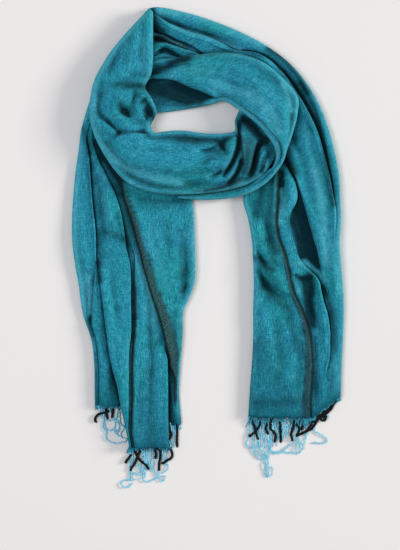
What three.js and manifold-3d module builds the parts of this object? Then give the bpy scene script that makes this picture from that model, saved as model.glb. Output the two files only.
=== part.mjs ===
// A woven wool shawl, wound once as if round a neck and laid flat on a table.
// Millimetres, +Z up. The origin is under the middle of the whole, at the surface it lies on.
// The one length of cloth shows as five stretches. Each is a closed solid made from sections across it,
// which hold the layers that lie hidden inside. The hems carry fringe.
import * as THREE from 'three';
import { mergeVertices } from 'three/addons/utils/BufferGeometryUtils.js';
import Module from 'manifold-3d';

const wasm = await Module();
wasm.setup();

// Driving dimensions
const GAP = 0.3;              // clearance between stretches that lie on or beside each other
const CLOTH = 1.4;            // thickness of one layer of the wool
const EDGE_ROUND = 3.5;       // how far in from the edge the top layer begins
const LAYER_GROOVE = 0.7;     // the layers of a folded edge are parted by this share of that
const HIGH_FADE = 24;         // a fold's leaf sinks back over this distance behind its lip
const HIGH_SHARE = 0.6;       // and rises there by this share of the step
const LOW_FADE = 12;          // the cloth in front of the lip dips over this distance
const LOW_SHARE = 0.4;        // by this share of the step
const VALLEY_WIDTH = 4.5;     // half width of a soft valley in the gathered knot
const FLATTEST_STEP = 0.8;    // a fold that has run out still leaves this much of a step
const LIP_REACH = 0.55;       // a lip overhangs by this share of its step
const LIP_LEAST = 0.6;        // and at least by this
const LIP_ROOM = 0.35;        // but by no more than this share of the room it has
const FOLD_ROOM = 3.5;        // evenly spread folds would have this many times the least room between them
const NARROW_ROUND = 0.12;    // a narrow stretch rounds its edges over this share of its width
const CENTRE = [-2, -1];      // moves the whole so that its box is centred on the origin

// Each stretch is a table of sections from its a edge to its b edge, one row for each:
//   ax ay bx by   the two edges in plan
//   z0 z1 z2 z3   height of the top at 0, 1/3, 2/3 and 1 of the way across
//   ua um ub      height of the underside at a, in the middle and at b
// and a list of folds, with one value for each section (the last one holds from there on):
//   across        place of the fold in percent of the way from a to b
//   step          height of its lip, or depth of a soft valley (faces 0)
//   faces         -1 where the lip looks back to a, 1 where it looks on to b
const SECTION_COLUMNS = ['ax', 'ay', 'bx', 'by', 'z0', 'z1', 'z2', 'z3', 'ua', 'um', 'ub'];

// The left tail, from under the loop down to the lower left hem
const LEFT_TAIL = {
  layers: [2, 3],
  panelSteps: 2,
  sections: [
    [-167, 201, -80, 169, 5, 7, 7, 5, 0, 0, 0],
    [-177, 166, -72, 149, 5, 7, 7, 5, 0, 0, 0],
    [-181, 135, -50, 124, 5, 7, 7, 5, 0, 0, 0],
    [-185, 107, -33, 99, 5, 7, 8, 6, 0, 0, 0],
    [-188, 77, -23, 72, 6, 8, 8, 7, 0, 0, 0],
    [-190, 44, -19, 44, 7, 10, 10, 9, 0, 0, 0],
    [-190, 9, -18, 9, 8, 11, 12, 11, 0, 0, 0],
    [-186, -24, -17, -21, 8, 12, 13, 12, 0, 0, 0],
    [-181, -52, -18, -48, 8, 12, 13, 12, 0, 0, 0],
    [-178, -75, -25, -70, 8, 12, 12, 10, 0, 0, 0],
    [-174, -98, -34, -91, 7, 12, 12, 9, 0, 0, 0],
    [-163, -131, -35, -124, 7, 12, 11, 8, 0, 0, 0],
    [-156, -167, -38, -164, 7, 11, 10, 6, 0, 0, 0],
    [-155, -206, -40, -206, 7, 11, 9, 5, 0, 0, 0],
    [-153, -245, -37, -245, 6, 10, 8, 5, 0, 0, 0],
    [-152, -285, -37, -285, 6, 9, 7, 5, 0, 0, 0],
  ],
  folds: [
    {
      // back leaf
      faces: -1,
      across: [7, 7, 7, 11, 13, 15, 16, 16, 13, 11, 8, 0],
      step: [1, 1, 1, 1, 1, 1, 1.2, 2, 5, 6],
    },
    {
      // middle leaf
      faces: -1,
      across: [5, 5, 11, 14, 16, 18, 20, 18, 19, 20, 21, 18, 18, 27, 32],
      step: [1, 1, 1.5, 2, 3, 4, 5, 5, 6, 7, 7, 7, 7, 8, 6],
    },
    {
      // front leaf
      faces: -1,
      across: [25, 25, 25, 32, 38, 43, 48, 50, 49, 50, 52, 47, 43, 43, 40],
      step: [1, 1, 1, 1, 1, 1, 2, 5, 7, 8, 8, 7],
    },
    {
      // front leaf right
      faces: 1,
      across: [30, 30, 30, 36, 40, 46, 51, 54, 58, 64, 73, 78, 85, 87, 85],
      step: [1, 1, 1, 1, 1, 1, 1, 1, 1, 1, 1.5, 3, 8, 9],
    },
    {
      // top leaf
      faces: -1,
      across: [26, 26, 26, 32, 38, 45, 52, 55, 60, 66, 74, 79, 87, 99, 97],
      step: [2, 3, 3.5, 5, 6.5, 9, 10, 9, 8.5, 8.5, 8.5, 8.5, 8, 3, 1.2],
    },
  ],
};

// From under the apex over the top and the right of the loop, and down the right tail
const OUTER_RUN = {
  layers: [2, 3],
  panelSteps: 2,
  sections: [
    [-134, 264, -97, 319, 5, 7, 7, 6, 0, 0, 0],
    [-78, 261, -76, 336, 6, 7, 8, 8, 0, 0, 0],
    [-38, 259, -33, 329, 6, 8, 9, 10, 0, 0, 0],
    [-1, 257, 9, 316, 6, 8, 10, 12, 0, 0, 0],
    [34, 254, 50, 299, 6, 8, 11, 13, 0, 0, 0],
    [62, 245, 85, 280, 6, 8, 11, 14, 0, 0, 0],
    [85, 225, 115, 257, 6, 8, 12, 14, 0, 0, 0],
    [100, 201, 139, 229, 6, 8, 12, 14, 0, 0, 0],
    [107, 175, 158, 196, 6, 8, 12, 14, 0, 0, 0],
    [103, 147, 170, 163, 6, 8, 12, 15, 0, 0, 0],
    [82, 121, 178, 133, 6, 8, 8, 15, 0, 0, 0],
    [59, 93, 184, 102, 7, 8, 4, 15, 0, 0, 0],
    [50, 67, 186, 68, 9, 9, 4, 15, 0, 0, 0],
    [57, 39, 187, 37, 11, 10, 4, 15, 0, 0, 0],
    [62, 9, 185, 7, 12, 11, 4, 14, 0, 0, 0],
    [64, -21, 187, -24, 12, 12, 6, 13, 0, 0, 0],
    [65, -54, 190, -58, 12, 13, 9, 12, 0, 0, 0],
    [64, -89, 191, -91, 12, 13, 10, 11, 0, 0, 0],
    [64, -128, 190, -128, 11, 13, 10, 10, 0, 0, 0],
    [62, -167, 188, -167, 11, 12, 10, 10, 0, 0, 0],
    [59, -206, 187, -206, 10, 12, 9, 9, 0, 0, 0],
    [57, -243, 186, -243, 10, 11, 8, 8, 0, 0, 0],
  ],
  folds: [
    {
      // selvedge leaf
      faces: 1,
      across: [8, 8, 9, 7, 7, 7, 8, 8, 8, 10, 19, 32, 36, 31, 32, 39, 43, 55, 64, 68, 67],
      step: [1.2, 3, 3, 1.5, 1, 1, 1, 1, 1, 1, 3, 5.5, 6, 6, 6, 6, 6, 5],
    },
    {
      // inner leaf
      faces: 1,
      across: [20, 34, 24, 15, 14, 14, 14, 16, 14, 12, 26, 49, 56, 45, 49, 57, 75, 81, 86, 85, 83],
      step: [2, 4, 3, 2, 1, 1, 1, 1, 1, 1, 2.5, 8, 10, 3.5, 2, 8, 10, 9, 7.5, 4, 2],
    },
    {
      // outer leaf
      faces: -1,
      across: [40, 58, 41, 21, 22, 22, 21, 24, 20, 15, 31, 51, 61, 65, 71, 76, 80, 87, 90, 91],
      step: [3, 5, 5, 3, 1.5, 1.5, 1.5, 1.5, 2, 4, 8, 13, 14.5, 15.5, 15, 10, 3, 1],
    },
    {
      // outer roll
      faces: 1,
      across: [70, 83, 70, 58, 47, 63, 68, 64, 67, 77, 84, 89, 94, 95, 98, 97, 95, 94, 95, 96, 97],
      step: [3, 4, 5, 5, 5.5, 6, 7, 8, 8, 7, 7, 6.5, 5, 2.5, 1],
    },
  ],
};

// Behind the neck, round to the right, and tucked under the front as a narrow crescent
const NECK_BAND = {
  layers: [2, 2],
  panelSteps: 3,
  sections: [
    [-80, 169.4, -167, 201.4, 6, 9, 9, 6, 0, 0, 0],
    [-80, 180, -139, 243, 6, 8.5, 8.5, 6, 0, 0, 0],
    [-78, 187, -78, 260, 5, 7, 8.5, 10, 0, 0, 7],
    [-52, 190, -48, 264, 5, 7, 12, 17, 0, 0, 11.4],
    [-24, 194, -16, 268, 6, 11, 16, 19, 0, 0, 11.9],
    [1, 199, 19, 271, 9, 16, 20, 20, 0, 2, 11.9],
    [23, 204, 51, 268, 16, 23, 25, 22, 6, 7, 12.4],
    [43, 191, 82, 255, 27, 30, 30, 24, 18, 13, 12.9],
    [58, 180, 108, 232, 32, 35, 34, 26, 23, 13, 14],
    [72, 168, 126, 208, 35, 39, 37, 27, 26, 17, 15],
    [83, 154, 125, 182, 37, 41, 39, 28, 28, 17, 14.5],
    [92, 140, 118, 155, 38, 41, 39, 30, 28, 17, 13],
    [95, 128, 111, 135, 37, 40, 38, 31, 22, 16, 12],
    [94, 120, 106, 119, 34, 37, 36, 30, 16, 13, 12],
    [88, 109, 97, 105, 30, 33, 32, 28, 12.5, 12.5, 12.5],
    [76, 96, 83, 90, 28, 30, 29, 26, 12.5, 12.5, 12.5],
    [59, 85, 63, 77, 26, 28, 27, 24, 12.5, 12.5, 12.5],
    [37, 77, 39, 69, 25, 27, 26, 22, 11, 11, 11],
    [10, 73, 11, 66, 23, 25, 24, 20, 11, 11, 11],
    [-18, 71, -18, 66, 21, 23, 22, 19, 11.5, 11.5, 11.5],
    [-41, 71, -41, 68, 19, 20, 20, 18, 12, 12, 12],
  ],
  folds: [
    {
      // band leaf
      faces: -1,
      across: [30, 50, 65, 59, 38, 17, 6, 5, 6, 8, 14, 29, 50, 75, 80],
      step: [1, 1.5, 3.5, 6.5, 8.5, 7.5, 3, 3, 6, 7, 7, 6, 5, 3, 1.2],
    },
  ],
};

// From the knot across the front, and up at the left to the apex
const FRONT_WRAP = {
  layers: [2, 3],
  panelSteps: 2,
  sections: [
    [46, 194, 100, 148, 15, 19, 19, 17, 4, 12, 12],
    [41, 184, 97, 135, 17, 22, 23, 18, 3, 12, 12],
    [38, 175, 92, 121, 20, 30, 32, 24, 2, 12, 10.5],
    [39, 166, 83, 107, 24, 37, 38, 32, 1, 10, 11.3],
    [37, 161, 70, 95, 26, 40, 40, 33, 0, 8, 11.3],
    [29, 159, 51, 85, 26, 40, 41, 32, 0, 6, 10.5],
    [12, 158, 27, 78.6, 25, 38, 40, 30, 0, 3, 8],
    [-9, 159, 1, 74.6, 24, 37, 39, 29, 0, 6, 10],
    [-30, 162, -27, 73, 24, 37, 38, 29, 4, 10.5, 11.8],
    [-50, 162, -55, 73, 24, 37, 37, 28, 10, 11.8, 11.8],
    [-65, 160, -82, 77, 25, 37, 37, 28, 10.5, 11.8, 11.8],
    [-73, 159, -106, 86, 26, 37, 36, 28, 11.8, 11.8, 11.8],
    [-77, 161, -124, 100, 26, 37, 36, 27, 11.8, 11.8, 11.8],
    [-79, 164, -141, 123, 26, 36, 35, 26, 11.8, 11.8, 11.8],
    [-80, 168, -153, 144, 26, 34, 35, 26, 11.8, 11.8, 11.8],
    [-78, 173, -162, 168, 27, 33, 35, 26, 11.8, 11.8, 11.8],
    [-74, 180, -165, 190, 28, 33, 34, 26, 11.8, 11.8, 11.8],
    [-71, 190, -163, 212, 29, 33, 33, 25, 11.8, 11.8, 11.8],
    [-75, 205, -158, 232, 30, 33, 32, 25, 11.8, 11.8, 11.8],
    [-81, 222, -148, 252, 30, 32, 31, 24, 11.8, 11.8, 11.8],
    [-79, 240, -136, 271, 29, 31, 30, 24, 11.8, 11.8, 11.8],
    [-76, 261, -122, 289, 28, 30, 29, 23, 11.8, 11.8, 11.8],
    [-76, 284, -107, 306, 26, 28, 27, 22, 11.8, 11.8, 11.8],
    [-76, 306, -93, 321, 24, 26, 25, 21, 12.2, 12.2, 12.2],
    [-76, 327, -81, 334, 20, 21, 21, 19, 12.5, 12.5, 12.5],
  ],
  folds: [
    {
      // v1
      faces: 0,
      across: [10, 12, 15, 18, 27, 50, 74, 80, 80],
      step: [0, 1, 3, 8, 12, 13, 9, 3, 0],
    },
    {
      // v2
      faces: 0,
      across: [25, 27, 30, 33, 42, 66, 86, 89, 89],
      step: [0, 2, 4, 6, 9, 10, 7, 3, 0],
    },
    {
      // v3
      faces: 0,
      across: [42, 43, 45, 52, 70, 82, 93, 94],
      step: [2, 4, 8, 10, 9, 5, 2, 0],
    },
    {
      // v4
      faces: 0,
      across: [62, 63, 65, 72, 86, 92, 96, 97],
      step: [3, 5, 8, 8, 5, 2, 0, 0],
    },
  ],
};

// The hems in plan, each from left to right. The left tail ends in three leaves, one behind the other.
const BACK_HEM = [[-156, -223], [-117, -223]];
const FRONT_HEM = [[-115, -282], [-55, -282]];
const SIDE_HEM = [[-53, -250], [-37, -250]];
const RIGHT_HEM = [[57, -238], [146, -240], [186, -210]];
const BEYOND = 400;           // what is cut away reaches this far below and beside a tail

// Fringe: each strand is an arc in plan, with one row of
//   along     where it leaves the hem, in millimetres from the hem's left end
//   heading   in degrees from straight out, positive to the right
//   length    in millimetres
//   turn      how many degrees it turns on its way
const BLACK_YARN = { radius: 1.1, height: 1.8, color: 0x12181c };
const BLUE_YARN = { radius: 0.8, height: 4.3, color: 0x76cbe0 };
const STRAND_STEPS = 6;
const STRAND_SHARE = 0.96;    // a strand is this share of its strip's thickness, so that it roots inside it
const STRIP_DEPTH = 2.6;      // the backing strip that the strands of one hem share
const END_INSET = 0.6;        // it ends this far inside the hem's corners
const BACK_FRINGE = {
  hem: BACK_HEM,
  black: [
    [7, -50, 20, 60],
    [15, -30, 26, -40],
    [24, -15, 20, 10],
    [32, 10, 15, 30],
  ],
  blue: [
    [5, -10, 30, 50],
    [13, 15, 42, -70],
    [20, -4, 52, 8],
    [27, -8, 48, -8],
    [34, -8, 38, 4],
  ],
};
const FRONT_FRINGE = {
  hem: FRONT_HEM,
  black: [
    [3, -40, 20, 20],
    [9, 10, 34, -45],
    [15, 30, 36, 35],
    [28, -20, 14, 20],
    [42, 5, 12, -10],
    [49, -5, 33, 5],
    [57, 45, 26, -110],
  ],
  blue: [
    [4, -20, 56, -40],
    [12, -30, 52, 30],
    [20, 10, 46, -50],
    [26, 0, 54, 40],
    [34, 20, 44, -50],
    [40, -10, 50, 50],
    [46, 10, 44, -40],
    [54, 25, 42, -50],
  ],
};
const SIDE_FRINGE = {
  hem: SIDE_HEM,
  black: [
    [3, 8, 24, -8],
    [11.5, 5, 32, -5],
  ],
  blue: [
    [7, 10, 20, 30],
  ],
};
const RIGHT_FRINGE = {
  hem: RIGHT_HEM,
  black: [
    [5, 5, 36, 25],
    [16, -10, 34, -45],
    [27, 10, 16, -20],
    [35, -15, 38, 40],
    [46, 10, 36, -10],
    [60, -10, 36, 25],
    [73, 10, 18, -10],
    [86, -20, 24, 20],
    [98, -30, 30, -10],
    [108, -50, 34, -10],
    [120, -25, 36, -40],
    [132, 10, 18, -40],
  ],
  blue: [
    [3, -10, 40, 40],
    [11, 0, 52, 50],
    [20, 0, 66, 25],
    [28, 5, 84, -8],
    [38, 10, 50, -60],
    [45, -15, 54, 60],
    [54, 10, 48, -40],
    [64, 10, 52, 30],
    [70, -10, 54, 30],
    [78, 20, 40, -70],
    [89, 10, 42, 40],
    [99, 0, 46, 60],
    [112, -35, 40, 60],
    [126, -40, 34, 20],
  ],
};

function spline(values, t) {
  const last = values.length - 1;
  const i = Math.max(Math.min(Math.floor(t), last - 1), 0);
  const u = Math.min(t - i, 1);
  const p1 = values[i];
  const p2 = values[i + 1];
  const p0 = i > 0 ? values[i - 1] : 2 * p1 - p2;
  const p3 = i + 2 <= last ? values[i + 2] : 2 * p2 - p1;
  const c1 = p2 - p0;
  const c2 = 2 * p0 - 5 * p1 + 4 * p2 - p3;
  const c3 = 3 * p1 - p0 - 3 * p2 + p3;
  return 0.5 * (2 * p1 + u * (c1 + u * (c2 + u * c3)));
}

// A section at place t of the table, with its folds in millimetres from the a edge
function sectionAt(stretch, t) {
  const section = {};
  SECTION_COLUMNS.forEach((name, column) => {
    section[name] = spline(stretch.sections.map((row) => row[column]), t);
  });
  ['ua', 'um', 'ub'].forEach((name) => {
    section[name] = Math.max(section[name], 0);
  });
  section.width = Math.hypot(section.bx - section.ax, section.by - section.ay);
  section.folds = stretch.folds.map((fold) => ({
    faces: fold.faces,
    at: (spline(fold.across, Math.min(t, fold.across.length - 1)) / 100) * section.width,
    step: Math.max(spline(fold.step, Math.min(t, fold.step.length - 1)), FLATTEST_STEP),
  }));
  section.rounding = Math.min(EDGE_ROUND, NARROW_ROUND * section.width);
  // folds keep their order and some room for their lips
  const room = (section.width - 2 * section.rounding) / (FOLD_ROOM * (section.folds.length + 1));
  section.folds.forEach((fold, k) => {
    const before = k > 0 ? section.folds[k - 1].at : section.rounding;
    const after = section.width - section.rounding - (section.folds.length - k) * room;
    fold.at = Math.min(Math.max(fold.at, before + room), after);
    fold.reach = Math.min(LIP_REACH * fold.step + LIP_LEAST, LIP_ROOM * room);
  });
  return section;
}

// Height of the cloth at distance s across; side picks the low (1) or high (-1) side of fold `of`
function heightAt(section, s, of = -1, side = 0) {
  const q = (3 * s) / section.width;
  const crown = spline([section.z0, section.z1, section.z2, section.z3], Math.min(Math.max(q, 0), 3));
  let height = crown;
  section.folds.forEach((fold, k) => {
    const distance = s - fold.at;
    if (fold.faces === 0) {
      height -= fold.step * Math.exp(-((distance / VALLEY_WIDTH) ** 2));
      return;
    }
    const low = k === of ? side > 0 : distance * fold.faces > 0;
    const away = Math.abs(distance);
    height += low
      ? -LOW_SHARE * fold.step * Math.exp(-away / LOW_FADE)
      : HIGH_SHARE * fold.step * Math.exp(-away / HIGH_FADE);
  });
  return Math.max(height, underAt(section, s) + 2 * CLOTH);
}

function underAt(section, s) {
  const q = Math.min(Math.max((2 * s) / section.width, 0), 2);
  return q < 1
    ? section.ua + (section.um - section.ua) * q
    : section.um + (section.ub - section.um) * (q - 1);
}

// The parted layers of a folded edge, from the underside up; inward is the rounding, negative at b
function edgeLayers(edge, inward, under, top, layers) {
  const points = [[edge + 0.5 * inward, under]];
  const layer = (top - under) / layers;
  for (let i = 0; i < layers; i += 1) {
    points.push([edge, under + (i + 0.25) * layer]);
    points.push([edge, under + (i + 0.75) * layer]);
    if (i < layers - 1) points.push([edge + LAYER_GROOVE * inward, under + (i + 1) * layer]);
  }
  return points;
}

// The round lip of a fold, which overhangs the cloth in front of it, from its low side to its high side.
// Each row holds a place in reaches behind the nose and a share of the rise.
const LIP = [[-0.3, 0], [0.9, 0.08], [0, 0.5], [0.35, 0.9], [1.3, 1]];

function lip(fold, low, high) {
  const behind = -fold.faces * fold.reach;
  return LIP.map(([back, share]) => [fold.at + back * behind, low + share * (high - low)]);
}

// One closed section as points of [distance across, height], from the underside at a over the top to b
function outline(stretch, section) {
  const w = section.width;
  const rounding = section.rounding;
  const points = edgeLayers(0, rounding, underAt(section, 0), heightAt(section, 0), stretch.layers[0]);
  let from = rounding;
  points.push([from, heightAt(section, from)]);
  const panel = (to) => {
    for (let i = 1; i < stretch.panelSteps; i += 1) {
      const s = from + ((to - from) * i) / stretch.panelSteps;
      points.push([s, heightAt(section, s)]);
    }
  };
  section.folds.forEach((fold, k) => {
    let crossing;
    if (fold.faces === 0) {
      crossing = [-1, 0, 1].map((i) => {
        const s = fold.at + i * Math.min(VALLEY_WIDTH, 1.2 * fold.reach);
        return [s, heightAt(section, s)];
      });
    } else {
      crossing = lip(fold, heightAt(section, fold.at, k, 1), heightAt(section, fold.at, k, -1));
      if (fold.faces === 1) crossing.reverse();
    }
    panel(crossing[0][0]);
    points.push(...crossing);
    from = crossing[crossing.length - 1][0];
  });
  panel(w - rounding);
  points.push([w - rounding, heightAt(section, w - rounding)]);
  const farEdge = edgeLayers(w, -rounding, underAt(section, w), heightAt(section, w), stretch.layers[1]);
  points.push(...farEdge.reverse());
  [0.75, 0.5, 0.25].forEach((q) => points.push([w * q, underAt(section, w * q)]));
  return points;
}

// A closed solid through the sections from place `first` to place `last` of a stretch
function loft(stretch, first, last, rings) {
  const positions = [];
  const faces = [];
  const capPoints = [];
  let count = 0;
  for (let r = 0; r < rings; r += 1) {
    const section = sectionAt(stretch, first + ((last - first) * r) / (rings - 1));
    const points = outline(stretch, section);
    count = points.length;
    const dx = (section.bx - section.ax) / section.width;
    const dy = (section.by - section.ay) / section.width;
    points.forEach(([s, z]) => {
      positions.push(section.ax + dx * s + CENTRE[0], section.ay + dy * s + CENTRE[1], z);
    });
    if (r === 0 || r === rings - 1) capPoints.push(points.map(([s, z]) => new THREE.Vector2(s, z)));
  }
  for (let r = 0; r < rings - 1; r += 1) {
    for (let i = 0; i < count; i += 1) {
      const j = (i + 1) % count;
      const here = r * count;
      const next = here + count;
      faces.push(here + i, next + i, next + j, here + i, next + j, here + j);
    }
  }
  const lastRing = (rings - 1) * count;
  THREE.ShapeUtils.triangulateShape(capPoints[0], []).forEach(([a, b, c]) => faces.push(a, c, b));
  THREE.ShapeUtils.triangulateShape(capPoints[1], []).forEach(([a, b, c]) => {
    faces.push(lastRing + a, lastRing + b, lastRing + c);
  });
  const geometry = new THREE.BufferGeometry();
  geometry.setAttribute('position', new THREE.Float32BufferAttribute(positions, 3));
  geometry.setIndex(faces);
  return outwards(geometry);
}

// Turns a closed geometry so that its faces point out
function outwards(geometry) {
  const p = geometry.attributes.position;
  const index = geometry.index.array;
  const [a, b, c] = [new THREE.Vector3(), new THREE.Vector3(), new THREE.Vector3()];
  let volume = 0;
  for (let i = 0; i < index.length; i += 3) {
    a.fromBufferAttribute(p, index[i]);
    b.fromBufferAttribute(p, index[i + 1]);
    c.fromBufferAttribute(p, index[i + 2]);
    volume += a.dot(b.cross(c));
  }
  if (volume < 0) {
    for (let i = 0; i < index.length; i += 3) [index[i + 1], index[i + 2]] = [index[i + 2], index[i + 1]];
  }
  return geometry;
}

function toSolid(geometry) {
  const bare = geometry.clone();
  bare.deleteAttribute('normal');
  bare.deleteAttribute('uv');
  const merged = mergeVertices(bare, 1e-4);
  const vertProperties = new Float32Array(merged.attributes.position.array);
  const triVerts = new Uint32Array(merged.index.array);
  return new wasm.Manifold(new wasm.Mesh({ numProp: 3, vertProperties, triVerts }));
}

function fromSolid(solid) {
  const { vertProperties, triVerts } = solid.getMesh();
  const geometry = new THREE.BufferGeometry();
  geometry.setAttribute('position', new THREE.Float32BufferAttribute(vertProperties, 3));
  geometry.setIndex(Array.from(triVerts));
  return geometry;
}

// Cuts the end of a tail to its hems, given in plan from left to right
function trimHem(geometry, ...hems) {
  const line = hems.flat();
  const [left] = line[0];
  const [right] = line[line.length - 1];
  const corners = [
    [left - BEYOND, line[0][1]], ...line, [right + BEYOND, line[line.length - 1][1]],
    [right + BEYOND, -2 * BEYOND], [left - BEYOND, -2 * BEYOND],
  ];
  const shape = new THREE.Shape(corners.map(([x, y]) => new THREE.Vector2(x + CENTRE[0], y + CENTRE[1])));
  const cutter = new THREE.ExtrudeGeometry(shape, { depth: BEYOND, bevelEnabled: false });
  cutter.translate(0, 0, -BEYOND / 2);
  return fromSolid(toSolid(geometry).subtract(toSolid(cutter)));
}

// The direction along one straight of a hem, and the one straight out of it
function segment(hem, k) {
  const dx = hem[k + 1][0] - hem[k][0];
  const dy = hem[k + 1][1] - hem[k][1];
  const length = Math.hypot(dx, dy);
  return { length, ux: dx / length, uy: dy / length, outX: dy / length, outY: -dx / length };
}

function hemPoint(hem, along) {
  let rest = along;
  let k = 0;
  while (k < hem.length - 2 && rest > segment(hem, k).length) {
    rest -= segment(hem, k).length;
    k += 1;
  }
  const part = segment(hem, k);
  return { ...part, x: hem[k][0] + part.ux * rest, y: hem[k][1] + part.uy * rest };
}

// The backing strip along a hem, clear of the cloth's edge
function strip(hem, yarn) {
  const last = hem.length - 1;
  const near = [];
  const far = [];
  hem.forEach(([x, y], k) => {
    const before = segment(hem, Math.max(k - 1, 0));
    const after = segment(hem, Math.min(k, last - 1));
    const outX = before.outX + after.outX;
    const outY = before.outY + after.outY;
    const miter = 2 / (outX * outX + outY * outY);
    const inset = END_INSET * ((k === 0) - (k === last));
    const rootX = x + inset * after.ux;
    const rootY = y + inset * after.uy;
    [[near, GAP], [far, GAP + STRIP_DEPTH]].forEach(([side, distance]) => {
      side.push(new THREE.Vector2(rootX + miter * outX * distance, rootY + miter * outY * distance));
    });
  });
  const shape = new THREE.Shape([...near, ...far.reverse()]);
  const solid = new THREE.ExtrudeGeometry(shape, { depth: 2 * yarn.radius, bevelEnabled: false });
  solid.translate(CENTRE[0], CENTRE[1], yarn.height - yarn.radius);
  return toSolid(solid);
}

// One strand: a three-sided tube along an arc, from inside the strip
function strand(hem, yarn, [along, heading, length, turn]) {
  const root = hemPoint(hem, along);
  const out = Math.atan2(root.outY, root.outX);
  const thickness = STRAND_SHARE * yarn.radius;
  const positions = [];
  const faces = [];
  let x = root.x + root.outX * (GAP + STRIP_DEPTH / 2) + CENTRE[0];
  let y = root.y + root.outY * (GAP + STRIP_DEPTH / 2) + CENTRE[1];
  for (let i = 0; i <= STRAND_STEPS; i += 1) {
    const angle = out + THREE.MathUtils.degToRad(heading + (turn * i) / STRAND_STEPS);
    [90, 210, 330].forEach((corner) => {
      const side = Math.cos(THREE.MathUtils.degToRad(corner)) * thickness;
      const rise = Math.sin(THREE.MathUtils.degToRad(corner)) * thickness;
      positions.push(x - Math.sin(angle) * side, y + Math.cos(angle) * side, yarn.height + rise);
    });
    x += (Math.cos(angle) * length) / STRAND_STEPS;
    y += (Math.sin(angle) * length) / STRAND_STEPS;
  }
  for (let i = 0; i < STRAND_STEPS; i += 1) {
    for (let j = 0; j < 3; j += 1) {
      const here = 3 * i + j;
      const beside = 3 * i + ((j + 1) % 3);
      faces.push(here, beside, beside + 3, here, beside + 3, here + 3);
    }
  }
  const last = 3 * STRAND_STEPS;
  faces.push(0, 2, 1, last, last + 1, last + 2);
  const geometry = new THREE.BufferGeometry();
  geometry.setAttribute('position', new THREE.Float32BufferAttribute(positions, 3));
  geometry.setIndex(faces);
  return toSolid(outwards(geometry));
}

function fringe(hem, yarn, rows) {
  return fromSolid(rows.reduce((whole, row) => whole.add(strand(hem, yarn, row)), strip(hem, yarn)));
}

const group = new THREE.Group();

function addPiece(name, geometry, material) {
  const flat = geometry.index ? geometry.toNonIndexed() : geometry;
  flat.computeVertexNormals();
  const mesh = new THREE.Mesh(flat, new THREE.MeshStandardMaterial({ metalness: 0, ...material }));
  mesh.name = name;
  group.add(mesh);
}

const TEAL_WOOL = { color: 0x23829a, roughness: 0.95 };

// Where the outer band ends and the right tail begins, in sections, with the seam's clearance between
const BAND_END = 9.5;
const TAIL_START = 9.515;

addPiece('left_tail', trimHem(loft(LEFT_TAIL, 0, 15, 24), BACK_HEM, FRONT_HEM, SIDE_HEM), TEAL_WOOL);
addPiece('outer_band', loft(OUTER_RUN, 0, BAND_END, 16), TEAL_WOOL);
addPiece('right_tail', trimHem(loft(OUTER_RUN, TAIL_START, 21, 19), RIGHT_HEM), TEAL_WOOL);
addPiece('front_wrap', loft(FRONT_WRAP, 0, 24, 36), TEAL_WOOL);
addPiece('neck_band', loft(NECK_BAND, 0, 20, 30), TEAL_WOOL);

const HEMS = { back: BACK_FRINGE, front: FRONT_FRINGE, side: SIDE_FRINGE, right: RIGHT_FRINGE };
Object.entries(HEMS).forEach(([name, { hem, black, blue }]) => {
  const finish = { roughness: 0.9 };
  addPiece(`${name}_fringe_black`, fringe(hem, BLACK_YARN, black), { color: BLACK_YARN.color, ...finish });
  addPiece(`${name}_fringe_blue`, fringe(hem, BLUE_YARN, blue), { color: BLUE_YARN.color, ...finish });
});

export default group;
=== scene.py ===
# A woven wool shawl, wound once as if round a neck and laid flat on a table.
# One length of cloth, 70 x 200 cm, shows as four stretches that run into each other under the loop.
# Tables are in millimetres; meshes and materials are in metres.
import math
import bpy
import numpy as np
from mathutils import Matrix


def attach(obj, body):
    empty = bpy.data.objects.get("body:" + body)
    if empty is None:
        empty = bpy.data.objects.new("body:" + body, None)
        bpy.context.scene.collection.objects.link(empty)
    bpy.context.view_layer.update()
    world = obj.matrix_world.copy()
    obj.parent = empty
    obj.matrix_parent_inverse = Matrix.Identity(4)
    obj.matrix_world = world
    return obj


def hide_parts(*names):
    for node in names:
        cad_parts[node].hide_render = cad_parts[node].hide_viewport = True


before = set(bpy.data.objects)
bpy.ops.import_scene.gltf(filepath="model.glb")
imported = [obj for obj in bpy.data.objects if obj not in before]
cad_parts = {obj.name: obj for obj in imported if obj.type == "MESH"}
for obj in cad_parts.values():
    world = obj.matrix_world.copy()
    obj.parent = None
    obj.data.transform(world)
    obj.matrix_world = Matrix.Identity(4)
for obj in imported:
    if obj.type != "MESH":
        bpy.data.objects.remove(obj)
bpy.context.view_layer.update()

MM = 0.001
CENTRE = np.array([-2.0, -1.0])   # where the layout's own origin lies in the frame


# ---------------------------------------------------------------- the left tail
# The end of the shawl that hangs at the left: soft teal wool in five leaves, folded over each other
# and all lipped towards the left. Two of the lips are the cloth's own long edges, with a brown band.
# It is woven in one piece and only folded; its hem is three leaves of unequal length.

CLOTH = 1.2                   # one layer of the wool
LEAST_DEPTH = 2.2 * CLOTH     # the top lies at least this far above the underside
EDGE_ROUND = 3.5              # a folded edge rounds over this width
NARROW_ROUND = 0.12           # or over this share of a narrow stretch
HIGH_FADE, HIGH_SHARE = 24, 0.6   # behind a fold's lip the leaf rises by this share of the step and sinks back
LOW_FADE, LOW_SHARE = 12, 0.4     # in front of the lip the cloth dips
LIP_REACH, LIP_LEAST = 0.55, 0.5  # a lip is as wide as this share of its step and this much more
LIP_ROOM = 0.27               # but no wider than this share of the room beside it
FOLD_ROOM, FOLD_SHARE = 3.2, 1.7  # two folds lie at least this far apart, or less where a section is crowded
FOLD_START, FOLD_FULL = 0.3, 0.9  # a lip starts at this step, and stands in full at this much more
FOLD_PAST = 12                # a fold's line may cross a section this far outside its edges
LAYER_PLACES = np.array([0.06, 0.2, 0.4, 0.6, 0.8, 0.94])  # points on one layer of an edge, groove to groove
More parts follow.
